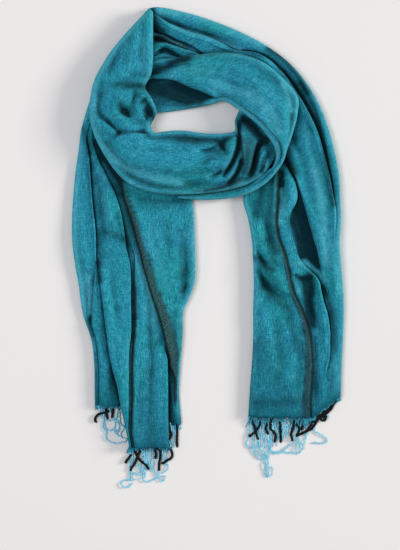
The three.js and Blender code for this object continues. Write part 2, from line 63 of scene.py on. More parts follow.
LAYER_ROUND, GROOVE = 0.6, 0.75   # how full a layer bulges, and how deep the grooves between layers go
# a lip from the cloth in front of it to the top of its own leaf: reaches behind the nose, share of the rise
LIP = np.array([
    (-0.7, 0.0), (0.1, -0.02), (0.9, 0.02), (1.15, 0.1), (0.8, 0.18), (0.35, 0.26), (0.08, 0.38),
    (0.0, 0.52), (0.08, 0.68), (0.3, 0.83), (0.7, 0.94), (1.2, 0.985), (1.8, 1.0),
])
LIP_NOSE, LIP_FOOT = 7, 4     # row of LIP at the nose, and the row where its own leaf begins
PARTING, PARTING_STEP = 0.4, 0.2  # half width of the line between two leaves underneath, and its least pitch


def spline(values, t):
    """Catmull-Rom curve through evenly spaced rows of values, at places t, straight on at both ends."""
    v = np.asarray(values, float)
    v = v.reshape(len(v), -1)
    last = len(v) - 1
    i = np.clip(np.floor(t).astype(int), 0, last - 1)
    u = np.clip(t - i, 0, 1)[:, None]
    p1, p2 = v[i], v[i + 1]
    p0 = np.where(i[:, None] > 0, v[np.maximum(i - 1, 0)], 2 * p1 - p2)
    p3 = np.where(i[:, None] + 2 <= last, v[np.minimum(i + 2, last)], 2 * p2 - p1)
    c1, c2, c3 = p2 - p0, 2 * p0 - 5 * p1 + 4 * p2 - p3, 3 * p1 - p0 - 3 * p2 + p3
    return 0.5 * (2 * p1 + u * (c1 + u * (c2 + u * c3)))


class Sections:
    """The sections of one stretch at places t: their edges in plan, their heights, and where each fold's
    line crosses them, in mm from edge a. A fold's step is positive where the side of edge b lies higher."""

    def __init__(self, stretch, t):
        """Reads the rows at t, then keeps the folds in order from a to b with room between them."""
        rows = spline(stretch["sections"], t)
        self.t = t
        self.a, self.b = rows[:, 0:2], rows[:, 2:4]
        self.tops, self.unders = rows[:, 4:8], np.maximum(rows[:, 8:11], 0)
        self.width = np.linalg.norm(self.b - self.a, axis=1)
        self.rounding = np.minimum(EDGE_ROUND, NARROW_ROUND * self.width)
        count = len(stretch["folds"])
        room = np.minimum(FOLD_ROOM, (self.width - 2 * self.rounding) / (FOLD_SHARE * (count + 1)))
        places, steps, before = [], [], self.rounding
        for k, fold in enumerate(stretch["folds"]):
            at, step = self.crossing(fold)
            step = step * np.clip((np.abs(step) - FOLD_START) / FOLD_FULL, 0, 1)
            at = np.clip(at, before + room, self.width - self.rounding - (count - k) * room)
            places.append(at)
            steps.append(step)
            before = at
        edges = [self.rounding * 0] + places + [self.width]
        self.folds = []
        for k in range(count):
            gap = np.minimum(edges[k + 1] - edges[k], edges[k + 2] - edges[k + 1])
            reach = np.minimum(LIP_REACH * np.abs(steps[k]) + LIP_LEAST, LIP_ROOM * gap)
            self.folds.append({"at": places[k], "step": steps[k], "reach": reach})

    def crossing(self, line):
        """Where a fold's line in plan crosses each section, and its step there; its ends are held."""
        line = spline(line, np.linspace(0, len(line) - 1, 12 * (len(line) - 1) + 1))
        along = (self.b - self.a) / self.width[:, None]
        x = line[None, :, 0] - self.a[:, :1]
        y = line[None, :, 1] - self.a[:, 1:]
        off = x * along[:, 1:] - y * along[:, :1]
        s = x * along[:, :1] + y * along[:, 1:]
        close = (s[:, :-1] > -FOLD_PAST) & (s[:, :-1] < self.width[:, None] + FOLD_PAST)
        meets = (off[:, :-1] * off[:, 1:] <= 0) & close
        first = np.argmax(meets, axis=1)
        row = np.arange(len(self.t))
        f = off[row, first] / (off[row, first] - off[row, first + 1] + 1e-9)
        share = (s[row, first] + f * (s[row, first + 1] - s[row, first])) / self.width
        step = line[first, 2] + f * (line[first + 1, 2] - line[first, 2])
        known = meets.any(axis=1)
        return np.interp(row, row[known], share[known]) * self.width, np.interp(row, row[known], step[known])

    def under(self, s):
        """Underside: straight from a to the middle and on to b."""
        q = np.clip(2 * s / self.width[:, None], 0, 2)
        ua, um, ub = (self.unders[:, k:k + 1] for k in range(3))
        return np.where(q < 1, ua + (um - ua) * q, um + (ub - um) * (q - 1))

    def height(self, s, of=-1, right=False):
        """Top: a curve through four heights, with a rise behind each lip and a dip before it."""
        q = np.clip(3 * s / self.width[:, None], 0, 3)
        i = np.clip(np.floor(q).astype(int), 0, 2)
        u = q - i
        z = np.concatenate([2 * self.tops[:, :1] - self.tops[:, 1:2], self.tops,
                            2 * self.tops[:, 3:] - self.tops[:, 2:3]], axis=1)
        p0, p1, p2, p3 = (np.take_along_axis(z, i + k, axis=1) for k in range(4))
        top = 0.5 * (2 * p1 + u * (p2 - p0 + u * (2 * p0 - 5 * p1 + 4 * p2 - p3
                                                  + u * (3 * p1 - p0 - 3 * p2 + p3))))
        for k, fold in enumerate(self.folds):
            away = s - fold["at"][:, None]
            step = fold["step"][:, None]
            on_right = np.full(s.shape, right) if k == of else away > 0
            rise = HIGH_SHARE * np.abs(step) * np.exp(-np.abs(away) / HIGH_FADE)
            dip = LOW_SHARE * np.abs(step) * np.exp(-np.abs(away) / LOW_FADE)
            top += np.where(on_right == (step > 0), rise, -dip)
        return np.maximum(top, self.under(s) + LEAST_DEPTH)


def layered_edge(sections, at_b, layers):
    """A folded edge: each hidden layer bulges like half an ellipse, a power of a sine of its height, with a
    groove between two layers. Returns s and z."""
    edge = sections.width[:, None] if at_b else np.zeros((len(sections.t), 1))
    inward = -sections.rounding[:, None] if at_b else sections.rounding[:, None]
    under, top = sections.under(edge), sections.height(edge)
    f = np.concatenate([(k + LAYER_PLACES) / layers for k in range(layers)])
    bulge = np.abs(np.sin(np.pi * f * layers)) ** LAYER_ROUND
    return edge + inward * (1 - bulge) * GROOVE, under + (top - under) * f


def ring(stretch, t):
    """Points of the closed sections: layered edge a, the top with its lips, layered edge b and the underside.
    Returns s and z as (places, columns), and for each column its leaf and its kind (0 panel, 1 edge, 2 lip,
    3 underside)."""
    sec = Sections(stretch, t)
    w, rounding = sec.width[:, None], sec.rounding[:, None]
    s, z, leaf, kind, noses = [], [], [], [], []

    def add(s_new, z_new, index, what):
        """Takes more columns, with their leaf and kind."""
        s.append(s_new)
        z.append(z_new)
        leaf.extend([index] * s_new.shape[1])
        kind.extend([what] * s_new.shape[1])

    add(*layered_edge(sec, False, stretch["layers"][0]), 0, 1)
    start = rounding
    u = np.linspace(0, 1, stretch["panel_columns"] + 1)
    spread = 0.45 * u + 0.55 * (1 - np.cos(np.pi * u)) / 2
    for k, fold in enumerate(sec.folds + [None]):
        if fold is None:
            end = w - rounding
        else:
            at, reach, step = (fold[key][:, None] for key in ("at", "reach", "step"))
            left, right = sec.height(at, k, False), sec.height(at, k, True)
            up, flat = 0.5 + 0.5 * np.tanh(step), 1 - np.tanh(np.abs(step))
            profile = (1 - flat) * LIP[:, 0] + flat * np.linspace(-0.7, 1.8, len(LIP))
            lip_s = at + reach * (up * profile - (1 - up) * profile[:, ::-1])
            lip_z = (up * (left + (right - left) * LIP[:, 1])
                     + (1 - up) * (right + (left - right) * LIP[::-1, 1]))
            end = lip_s[:, :1]
        f = spread[:-1] if k == 0 else spread[1:-1]
        panel = start + (end - start) * f
        add(panel, sec.height(panel), k, 0)
        if fold is None:
            add(end, sec.height(end), k, 0)
        else:
            rising = fold["step"][-1] > 0
            noses.append(len(leaf) + (LIP_NOSE if rising else len(LIP) - 1 - LIP_NOSE))
            cut = LIP_FOOT if rising else len(LIP) - LIP_FOOT
            add(lip_s[:, :cut], lip_z[:, :cut], k, 2)
            add(lip_s[:, cut:], lip_z[:, cut:], k + 1, 2)
            start = lip_s[:, -1:]
    es, ez = layered_edge(sec, True, stretch["layers"][1])
    last = len(sec.folds)
    add(es[:, ::-1], ez[:, ::-1], last, 1)
    marks = [w - rounding * 0.6]
    names = [last]
    for k in range(last - 1, -1, -1):
        at = sec.folds[k]["at"][:, None]
        marks += [at + PARTING, at - PARTING]
        names += [k + 1, k]
    marks.append(rounding * 0.6)
    names.append(0)
    # marks that would cross, where leaves of different length meet, are held in order
    marks, order = np.concatenate(marks, 1), PARTING_STEP * np.arange(len(marks))
    marks = np.minimum.accumulate(marks + order, axis=1) - order
    marks = np.maximum(marks, marks[:, -1:] + order[::-1])
    for m, index in zip(marks.T[:, :, None], names):
        add(m, sec.under(m), index, 3)
    return sec, np.concatenate(s, 1), np.concatenate(z, 1), np.array(leaf), np.array(kind), noses


def along_curve(points, x, y):
    """Distance to a curve through given points, signed by side (left of its direction is positive),
    and how far along it the nearest place lies, from 0 to 1."""
    p = spline(points, np.linspace(0, len(points) - 1, 10 * (len(points) - 1) + 1))
    best = np.full(x.shape, 1e9)
    side = np.zeros(x.shape)
    along = np.zeros(x.shape)
    for k in range(len(p) - 1):
        d = p[k + 1] - p[k]
        f = np.clip(((x - p[k, 0]) * d[0] + (y - p[k, 1]) * d[1]) / (d @ d + 1e-9), 0, 1)
        ox, oy = x - p[k, 0] - f * d[0], y - p[k, 1] - f * d[1]
        dist = np.hypot(ox, oy)
        near = dist < best
        best = np.where(near, dist, best)
        side = np.where(near, np.sign(d[0] * oy - d[1] * ox), side)
        along = np.where(near, (k + f) / (len(p) - 1), along)
    return best * side, along


CREASE_REACH = 26             # a small lip is felt this far from its line
CREASE_HIGH, CREASE_HIGH_FADE = 0.6, 9   # it stands up by this share of its height, and sinks back over this
CREASE_LOW, CREASE_LOW_FADE = 0.4, 6     # and the cloth before it dips by this share


def crease_height(kind, height, width, curve, x, y):
    """Height that one listed crease adds, fading towards both its ends: a trough or ridge with a bell
    section, or a lip, which stands up on the left of its line (if negative, on the right) and dips on the
    other side."""
    line = np.array(curve, float)
    reach = 3 * width if kind != "lip" else CREASE_REACH
    near = ((x > line[:, 0].min() - reach) & (x < line[:, 0].max() + reach)
            & (y > line[:, 1].min() - reach) & (y < line[:, 1].max() + reach))
    added = np.zeros(x.shape)
    if not near.any():
        return added
    d, along = along_curve(line, x[near], y[near])
    ends = np.sin(np.pi * np.clip(along, 0.0005, 0.9995)) ** 0.6
    if kind == "lip":
        d = d * np.sign(height)
        rise = CREASE_HIGH * np.exp(-np.abs(d) / CREASE_HIGH_FADE)
        dip = -CREASE_LOW * np.exp(-np.abs(d) / CREASE_LOW_FADE)
        shape = dip + (rise - dip) * (0.5 + 0.5 * np.tanh(d / 0.6))
        added[near] = abs(height) * ends * shape
    else:
        added[near] = (height if kind == "ridge" else -height) * ends * np.exp(-(d / width) ** 2)
    return added


WAVE_LENGTHS, WAVE_HEIGHT = (95, 61, 43, 31, 22, 16), 0.035


def soft_waves(x, y, seed):
    """The small unevenness of soft wool: a sum of long low sine waves at different slants."""
    rng = np.random.default_rng(seed)
    total = np.zeros(x.shape)
    for length in WAVE_LENGTHS:
        angle, phase, drift = rng.uniform(0, np.pi), rng.uniform(0, 6.28), rng.uniform(0, 6.28)
        wave = (x * np.cos(angle) + y * np.sin(angle)) / length
        total += length ** 0.6 * np.sin(2 * np.pi * wave + phase + 1.5 * np.sin(0.021 * (x - y) + drift))
    return total * WAVE_HEIGHT


def resample(grid, rows):
    """Reads a grid at fractional rows, column by column, straight between its rows."""
    i = np.clip(np.floor(rows).astype(int), 0, len(grid) - 2)
    f = rows - i
    if grid.ndim == 3:
        f = f[..., None]
        i3 = np.repeat(i[..., None], grid.shape[2], axis=2)
        low, high = np.take_along_axis(grid, i3, 0), np.take_along_axis(grid, i3 + 1, 0)
    else:
        low, high = np.take_along_axis(grid, i, 0), np.take_along_axis(grid, i + 1, 0)
    return low + (high - low) * f


def hollow(s, z, top, width):
    """How far each place lies below the cloth round it in the same section, in mm: the bell-weighted mean
    height of its neighbours, less its own."""
    z0, s0 = z[:, top], s[:, top]
    share = np.abs(np.gradient(s0, axis=1))[:, None, :]
    weight = np.exp(-((s0[:, :, None] - s0[:, None, :]) / width) ** 2) * share
    deep = np.zeros(s.shape)
    deep[:, top] = (weight * z0[:, None, :]).sum(2) / weight.sum(2) - z0
    return deep


HOLLOWS = ((9.0, 3.0), (24.0, 4.5))   # a bell's width, and the depth within it that gets the full painted shade
INNER_FADE = 7                # the painted shade starts inside a folded edge, over this width
EDGE_HIGHLIGHT, EDGE_HIGHLIGHT_WIDTH = 0.7, 5.5   # how strong the painted highlight along a folded edge is, and over what width


def painted_shade_and_highlight(sec, s, z, x, y, kind, painted_light_and_shade):
    """Painted shade and painted highlight, each from 0 to 1: shade painted by the depth of a hollow, a
    highlight painted along a folded edge. Each listed tone adds a bell across its line, to the painted shade if
    it is positive, else to the painted highlight, and a highlight clears the shade under it."""
    from_edge = np.minimum(s, sec.width[:, None] - s)
    top = np.flatnonzero((kind == 0) | (kind == 2))
    near, far = (hollow(s, z, top, width) / full for width, full in HOLLOWS)
    # painted shade in the hollows of the cloth, faded out towards its edges
    deep = np.maximum(0, np.maximum(near, far)) * np.clip((from_edge - EDGE_ROUND) / INNER_FADE, 0, 1)
    # painted highlight along the folded edges of the top
    nap = EDGE_HIGHLIGHT * np.exp(-(from_edge / EDGE_HIGHLIGHT_WIDTH) ** 2) * ((kind != 3) & (kind != 2))
    for strength, width, curve in painted_light_and_shade:
        away, _ = along_curve(np.array(curve, float), x, y)
        bell = abs(strength) * (kind != 3) * np.exp(-(away / width) ** 2)
        if strength > 0:
            deep = deep + bell
        else:
            deep, nap = deep * (1 - bell), nap + bell
    return np.clip(deep, 0, 1), np.clip(nap, 0, 1)


BAND_SHARE, BAND_SOFT = 0.95, 0.9     # how full a stitched edge's band is, and how softly it ends
BAND_UNDER = 4                # the band goes on this far round the edge
RIM_WIDTH = 1.5               # the black rim at the very edge
DOT_SHARE, DOT_PITCH = 0.8, 2.2       # the dotted line at the band's inner side: strength, turns per mm
LOOSE_BAND_SOFT = 0.8


def band_marks(sec, s, x, y, leaf, on_top, stretch):
    """Where the brown band and the black rim lie, from 0 to 1. On a stitched edge the band is full up to its
    width there, and the rim is a bell on the edge with a dotted bell at the band's inner side. Elsewhere a
    band is full within its half width of a given line."""
    band, rim = np.zeros(s.shape), np.zeros(s.shape)
    middle_y = 0.5 * (sec.a[:, 1] + sec.b[:, 1])
    for k, b_side, line in stretch["selvedges"]:
        width = np.interp(middle_y, *np.array(line)[::-1].T)[:, None]
        into = (s - sec.folds[k]["at"][:, None]) * (1 if b_side else -1)
        own = (leaf == (k + 1 if b_side else k)) & on_top
        shown = np.clip(width / 2, 0, 1)
        full = BAND_SHARE * own * shown * (into > -BAND_UNDER)
        band = np.maximum(band, full / (1 + np.exp((into - width) / BAND_SOFT)))
        dots = (0.6 + 0.4 * np.sin(DOT_PITCH * y)) * np.exp(-((into - width) / BAND_SOFT) ** 2)
        rim = np.maximum(rim, own * shown * np.maximum(np.exp(-(into / RIM_WIDTH) ** 2), DOT_SHARE * dots))
    for strength, width, line in stretch["bands"]:
        away, along = along_curve(np.array(line, float), x, y)
        ends = np.clip(8 * np.sin(np.pi * np.clip(along, 0, 1)), 0, 1)
        soft = 1 + np.exp((np.abs(away) - width) / LOOSE_BAND_SOFT)
        band = np.maximum(band, strength * ends * on_top / soft)
    return band, rim


HEM_KEPT = 0.75               # a tail's first rows stay in place, by this share; the rest is drawn to the hem
HEM_DARK = ((0.6, 7), (0.4, 55))      # the dyed hem: strength, and how far up it goes, sharp and wide


def cut_hems(grids, x, y, length, leaf, hems):
    """Ends each column of a tail at its leaf's hem, a line in plan made ragged by bent sine waves: the last
    quarter of its rows is spread evenly up to where the column crosses that line. The dark of the dyed hem
    fades with the way still to go to it."""
    rows, columns = x.shape
    half, last = rows // 2, rows - 1
    ragged = 1.1 * np.sin(x / 1.9 + 2 * np.sin(x / 7)) + 0.7 * np.sin(x / 0.9 + 1.3 * np.sin(x / 5))
    ends = np.zeros(columns)
    for column in range(columns):
        # A yarn's middle line: its plan through listed points, crinkled sideways by two sine waves, and its
        # height, from the hem down to the table with a few low arches.
        hem = np.array(hems[leaf[column]], float)
        past = np.interp(x[half:, column], *hem.T) + ragged[half:, column] - y[half:, column]
        ends[column] = half + np.interp(0, past, np.arange(rows - half))
    keep = HEM_KEPT * last
    i = np.arange(rows, dtype=float)[:, None]
    places = np.where(i < keep, i, keep + (i - keep) * (ends - keep) / (last - keep))
    grids = {key: resample(grid, places) for key, grid in grids.items()}
    to_go = length / last * (ends[None, :] - places)
    (sharp, sharp_reach), (wide, wide_reach) = HEM_DARK
    grids["hem"] = sharp * np.exp(-to_go / sharp_reach) + wide * np.exp(-(to_go / wide_reach) ** 2)
    return grids


def cloth_piece(stretch, t_range, rows, seed):
    """The grids of one stretch, in mm: its closed sections as one surface, with waves and creases that fade
    out at its edges, the way round it (u) and along its middle (v), and the marks that colour it."""
    t = np.linspace(t_range[0], t_range[1], rows)
    sec, s, z, leaf, kind, noses = ring(stretch, t)
    direction = (sec.b - sec.a) / sec.width[:, None]
    x = sec.a[:, :1] + direction[:, :1] * s
    y = sec.a[:, 1:] + direction[:, 1:] * s
    on_top = ((kind == 0) | (kind == 2))[None, :]
    fade = np.clip(np.minimum(s, sec.width[:, None] - s) / (3 * EDGE_ROUND), 0, 1) * on_top
    z = z + soft_waves(x, y, seed) * fade
    for crease in stretch["creases"]:
        z = z + crease_height(*crease, x, y) * fade
    z = np.where(on_top, np.maximum(z, sec.under(s) + LEAST_DEPTH), z)
    # painted shade in the hollows and along listed lines, painted highlight along folded edges and listed lines
    deep, nap = painted_shade_and_highlight(sec, s, z, x, y, kind, stretch["painted_light_and_shade"])
    band, rim = band_marks(sec, s, x, y, leaf, on_top, stretch)
    points = np.stack([x + CENTRE[0], y + CENTRE[1], z], axis=2)
    step = np.linalg.norm(np.diff(points, axis=1), axis=2)
    across = np.concatenate([np.zeros((rows, 1)), np.cumsum(step, axis=1)], axis=1)
    middle = 0.5 * (sec.a + sec.b)
    along = np.concatenate([[0], np.cumsum(np.linalg.norm(np.diff(middle, axis=0), axis=1))])
    grids = {"points": points, "u": across, "v": np.repeat(along[:, None], s.shape[1], axis=1),
             "band": band, "rim": rim, "deep": deep, "nap": nap, "hem": np.zeros(s.shape)}
    if "hems" in stretch:
        grids = cut_hems(grids, x, y, along[-1], leaf, stretch["hems"])
    grids["leaf"], grids["kind"], grids["noses"] = leaf, kind, noses
    return grids


def build_cloth(name, grids, caps):
    """Puts a ring surface in a mesh: quads round and along it, a face over each closed end, UVs in metres
    (u round the cloth, v along it) and the marks as point attributes. Solidify gives the wool its wall."""
    points = grids["points"] * MM
    rows, columns = points.shape[:2]
    index = np.arange(rows * columns).reshape(rows, columns)
    nxt = np.roll(index, -1, axis=1)
    quads = np.stack([index[:-1], nxt[:-1], nxt[1:], index[1:]], axis=2).reshape(-1, 4)
    middle = points.mean(axis=1)
    corner = points.reshape(-1, 3)[quads]
    normal = np.cross(corner[:, 2] - corner[:, 0], corner[:, 3] - corner[:, 1])
    outward = np.repeat(middle[:-1], columns, axis=0)
    flipped = np.einsum("ij,ij->i", normal, corner.mean(axis=1) - outward).sum() < 0
    if flipped:
        quads = quads[:, ::-1]
    loops = quads.ravel()
    sizes = [4] * len(quads)
    for cap, row in zip(caps, (0, rows - 1)):
        if cap:
            face = index[row]
            if (row == 0) == flipped:
                face = face[::-1]
            loops = np.concatenate([loops, face[::-1]])
            sizes.append(columns)
    sizes = np.array(sizes)
    mesh = bpy.data.meshes.new(name)
    mesh.vertices.add(rows * columns)
    mesh.vertices.foreach_set("co", points.ravel())
    mesh.loops.add(len(loops))
    mesh.loops.foreach_set("vertex_index", loops)
    mesh.polygons.add(len(sizes))
    mesh.polygons.foreach_set("loop_start", np.concatenate([[0], np.cumsum(sizes)[:-1]]))
    mesh.polygons.foreach_set("use_smooth", np.ones(len(sizes), bool))
    mesh.update(calc_edges=True)
    u = grids["u"].ravel()[loops]
    v = grids["v"].ravel()[loops]
    round_the_back = np.repeat(np.arange(len(quads)) % columns == columns - 1, 4)
    first = np.isin(loops[:len(quads) * 4], index[:, 0]) & round_the_back
    girth = grids["u"][:, -1].mean() + 3
    u[:len(first)] = np.where(first, girth, u[:len(first)])
    uv = mesh.uv_layers.new(name="cloth")
    uv.data.foreach_set("uv", (np.stack([u, v], axis=1) * MM).ravel())
    # among the marks are the painted shade of the hollows and the painted highlight of the folded edges
    for key in ("band", "rim", "hem", "deep", "nap"):
        layer = mesh.attributes.new(key, "FLOAT", "POINT")
        layer.data.foreach_set("value", grids[key].ravel().astype(np.float32))
    mesh.validate()
    piece = bpy.data.objects.new(name, mesh)
    bpy.context.scene.collection.objects.link(piece)
    wall = piece.modifiers.new("wall", "SOLIDIFY")
    wall.thickness, wall.offset = CLOTH * MM, -1
    wall.use_rim = True
    return piece


def linear(hex_colour):
    """An sRGB hex colour as linear red, green, blue and 1."""
    channels = [int(hex_colour[k:k + 2], 16) / 255 for k in (1, 3, 5)]
    return [c / 12.92 if c <= 0.04045 else ((c + 0.055) / 1.055) ** 2.4 for c in channels] + [1]


def add_node(tree, kind, settings=None, **links):
    """Adds a node, gives it its settings (stops are those of a colour ramp), and links or sets its inputs: a
    pair is (node, output), and _2 is the input with that number."""
    node = tree.nodes.new(kind)
    for key, value in (settings or {}).items():
        if key != "stops":
            setattr(node, key, value)
            continue
        elements = node.color_ramp.elements
        while len(elements) < len(value):
            elements.new(0.5)
        for element, (place, colour) in zip(elements, value):
            element.position, element.color = place, colour
    for key, value in links.items():
        socket = node.inputs[int(key[1:])] if key[0] == "_" else node.inputs[key.replace("_", " ")]
        if isinstance(value, tuple) and isinstance(value[0], bpy.types.Node):
            tree.links.new(value[0].outputs[value[1]], socket)
        else:
            socket.default_value = value
    return node


# Heathered wool: carded fibres of two teals spun together, so that the warp shows as short light and dark
# dashes; milled and brushed, with a soft nap that catches light at glancing angles. The dashes are drawn
# about 1 mm wide, coarser than the yarn, so that they show. Deep in the folds a painted shade darkens the
# colour, and along folded edges a painted highlight lightens it.
DASH_WIDTH, DASH_LENGTH = 1.15 * MM, 13 * MM
HEATHER = [(0.0, linear("#0a5163")), (0.28, linear("#1a7389")), (0.5, linear("#2d8ba1")),
           (0.72, linear("#4ba5b6")), (1.0, linear("#8fd0d8"))]
BAND_DARK, BAND_LIGHT, RIM_BLACK = linear("#14292c"), linear("#485b58"), linear("#070d10")


# the spun dashes, the fibres in them and the weft: width, length, detail and roughness of each pattern
GRAINS = ((DASH_WIDTH, DASH_LENGTH, 3.0, 0.62), (0.6 * DASH_WIDTH, 0.35 * DASH_LENGTH, 2.0, 0.5),
          (DASH_LENGTH, DASH_WIDTH, 2.0, 0.5))
RIB_WIDTH, RIB_LENGTH = 3.4 * MM, 1.3 * MM    # the cross ribs of the brown band


def wool_material(name, greener):
    """The wool: three stretched noises on the cloth's own UVs, mixed and sent through the teals, tinted in
    wide patches, with a painted highlight on the edges, band, rim, hem and a painted shade in the hollows laid
    over it, and the same noise as bump."""
    material = bpy.data.materials.new(name)
    material.use_nodes = True
    tree = material.node_tree
    tree.nodes.clear()
    flat, colours = {"noise_dimensions": "2D"}, {"data_type": "RGBA"}
    uv = add_node(tree, "ShaderNodeUVMap", {"uv_map": "cloth"})
    wander = add_node(tree, "ShaderNodeTexNoise", flat, Vector=(uv, 0), Scale=38.0, Detail=2.0)
    bent = add_node(tree, "ShaderNodeVectorMath", {"operation": "MULTIPLY_ADD"},
                    _0=(wander, "Color"), _1=(0.006, 0.0, 0.0), _2=(uv, 0))
    grains = []
    for across, along, detail, roughness in GRAINS:
        scaled = add_node(tree, "ShaderNodeMapping", Vector=(bent, 0), Scale=(1 / across, 1 / along, 1.0))
        grains.append(add_node(tree, "ShaderNodeTexNoise", flat, Vector=(scaled, 0), Scale=1.0, Detail=detail,
                               Roughness=roughness))
    dashes, fibres, weft = grains
    spun = add_node(tree, "ShaderNodeMix", colours, _0=0.42, _6=(dashes, "Color"), _7=(fibres, "Color"))
    both = add_node(tree, "ShaderNodeMix", colours, _0=0.2, _6=(spun, 2), _7=(weft, "Color"))
    contrast = add_node(tree, "ShaderNodeMapRange", {"interpolation_type": "LINEAR"},
                        Value=(both, 2), From_Min=0.33, From_Max=0.69)
    teal = add_node(tree, "ShaderNodeValToRGB", {"stops": HEATHER}, _0=(contrast, 0))
    patches = add_node(tree, "ShaderNodeTexNoise", flat, Vector=(uv, 0), Scale=14.0, Detail=2.0,
                       Roughness=0.55)
    patch = add_node(tree, "ShaderNodeMapRange", Value=(patches, 0), From_Min=0.38, From_Max=0.64)
    shaded = add_node(tree, "ShaderNodeMix", {**colours, "blend_type": "MULTIPLY"},
                      _0=(patch, 0), _6=(teal, 0), _7=greener)
    ribs = add_node(tree, "ShaderNodeMapping", Vector=(uv, 0), Scale=(1 / RIB_WIDTH, 1 / RIB_LENGTH, 1.0))
    weave = add_node(tree, "ShaderNodeTexNoise", flat, Vector=(ribs, 0), Scale=1.0, Detail=2.0)
    brown = add_node(tree, "ShaderNodeValToRGB", {"stops": [(0.36, BAND_DARK), (0.66, BAND_LIGHT)]},
                     _0=(weave, 0))
    # painted highlight on the rolled edges, woven bands, stitched rims, dyed hems and painted shade in the
    # hollows, one over the other
    for mark, share, colour, blend in (
        ("nap", 0.9, linear("#3d6670"), "SCREEN"), ("band", 0.9, (brown, 0), "MIX"),
        ("rim", 0.95, RIM_BLACK, "MIX"), ("hem", 0.75, linear("#07485a"), "MIX"),
        ("deep", 0.9, linear("#021a22"), "MIX"),
    ):
        value = add_node(tree, "ShaderNodeAttribute", {"attribute_name": mark})
        amount = add_node(tree, "ShaderNodeMath", {"operation": "MULTIPLY"}, _0=(value, "Fac"), _1=share)
        shaded = add_node(tree, "ShaderNodeMix", {**colours, "blend_type": blend},
                          _0=(amount, 0), _6=(shaded, 2), _7=colour)
    bump = add_node(tree, "ShaderNodeBump", Strength=0.5, Distance=0.0006, Height=(both, 2))
    shader = add_node(tree, "ShaderNodeBsdfPrincipled", Base_Color=(shaded, 2), Roughness=0.88,
                      Normal=(bump, 0), Sheen_Weight=0.3, Sheen_Roughness=0.4, Sheen_Tint=linear("#b4e6ee"),
                      Specular_IOR_Level=0.12)
    add_node(tree, "ShaderNodeOutputMaterial", Surface=(shader, 0))
    return material


wool = wool_material("heathered teal wool", linear("#e6fff2"))

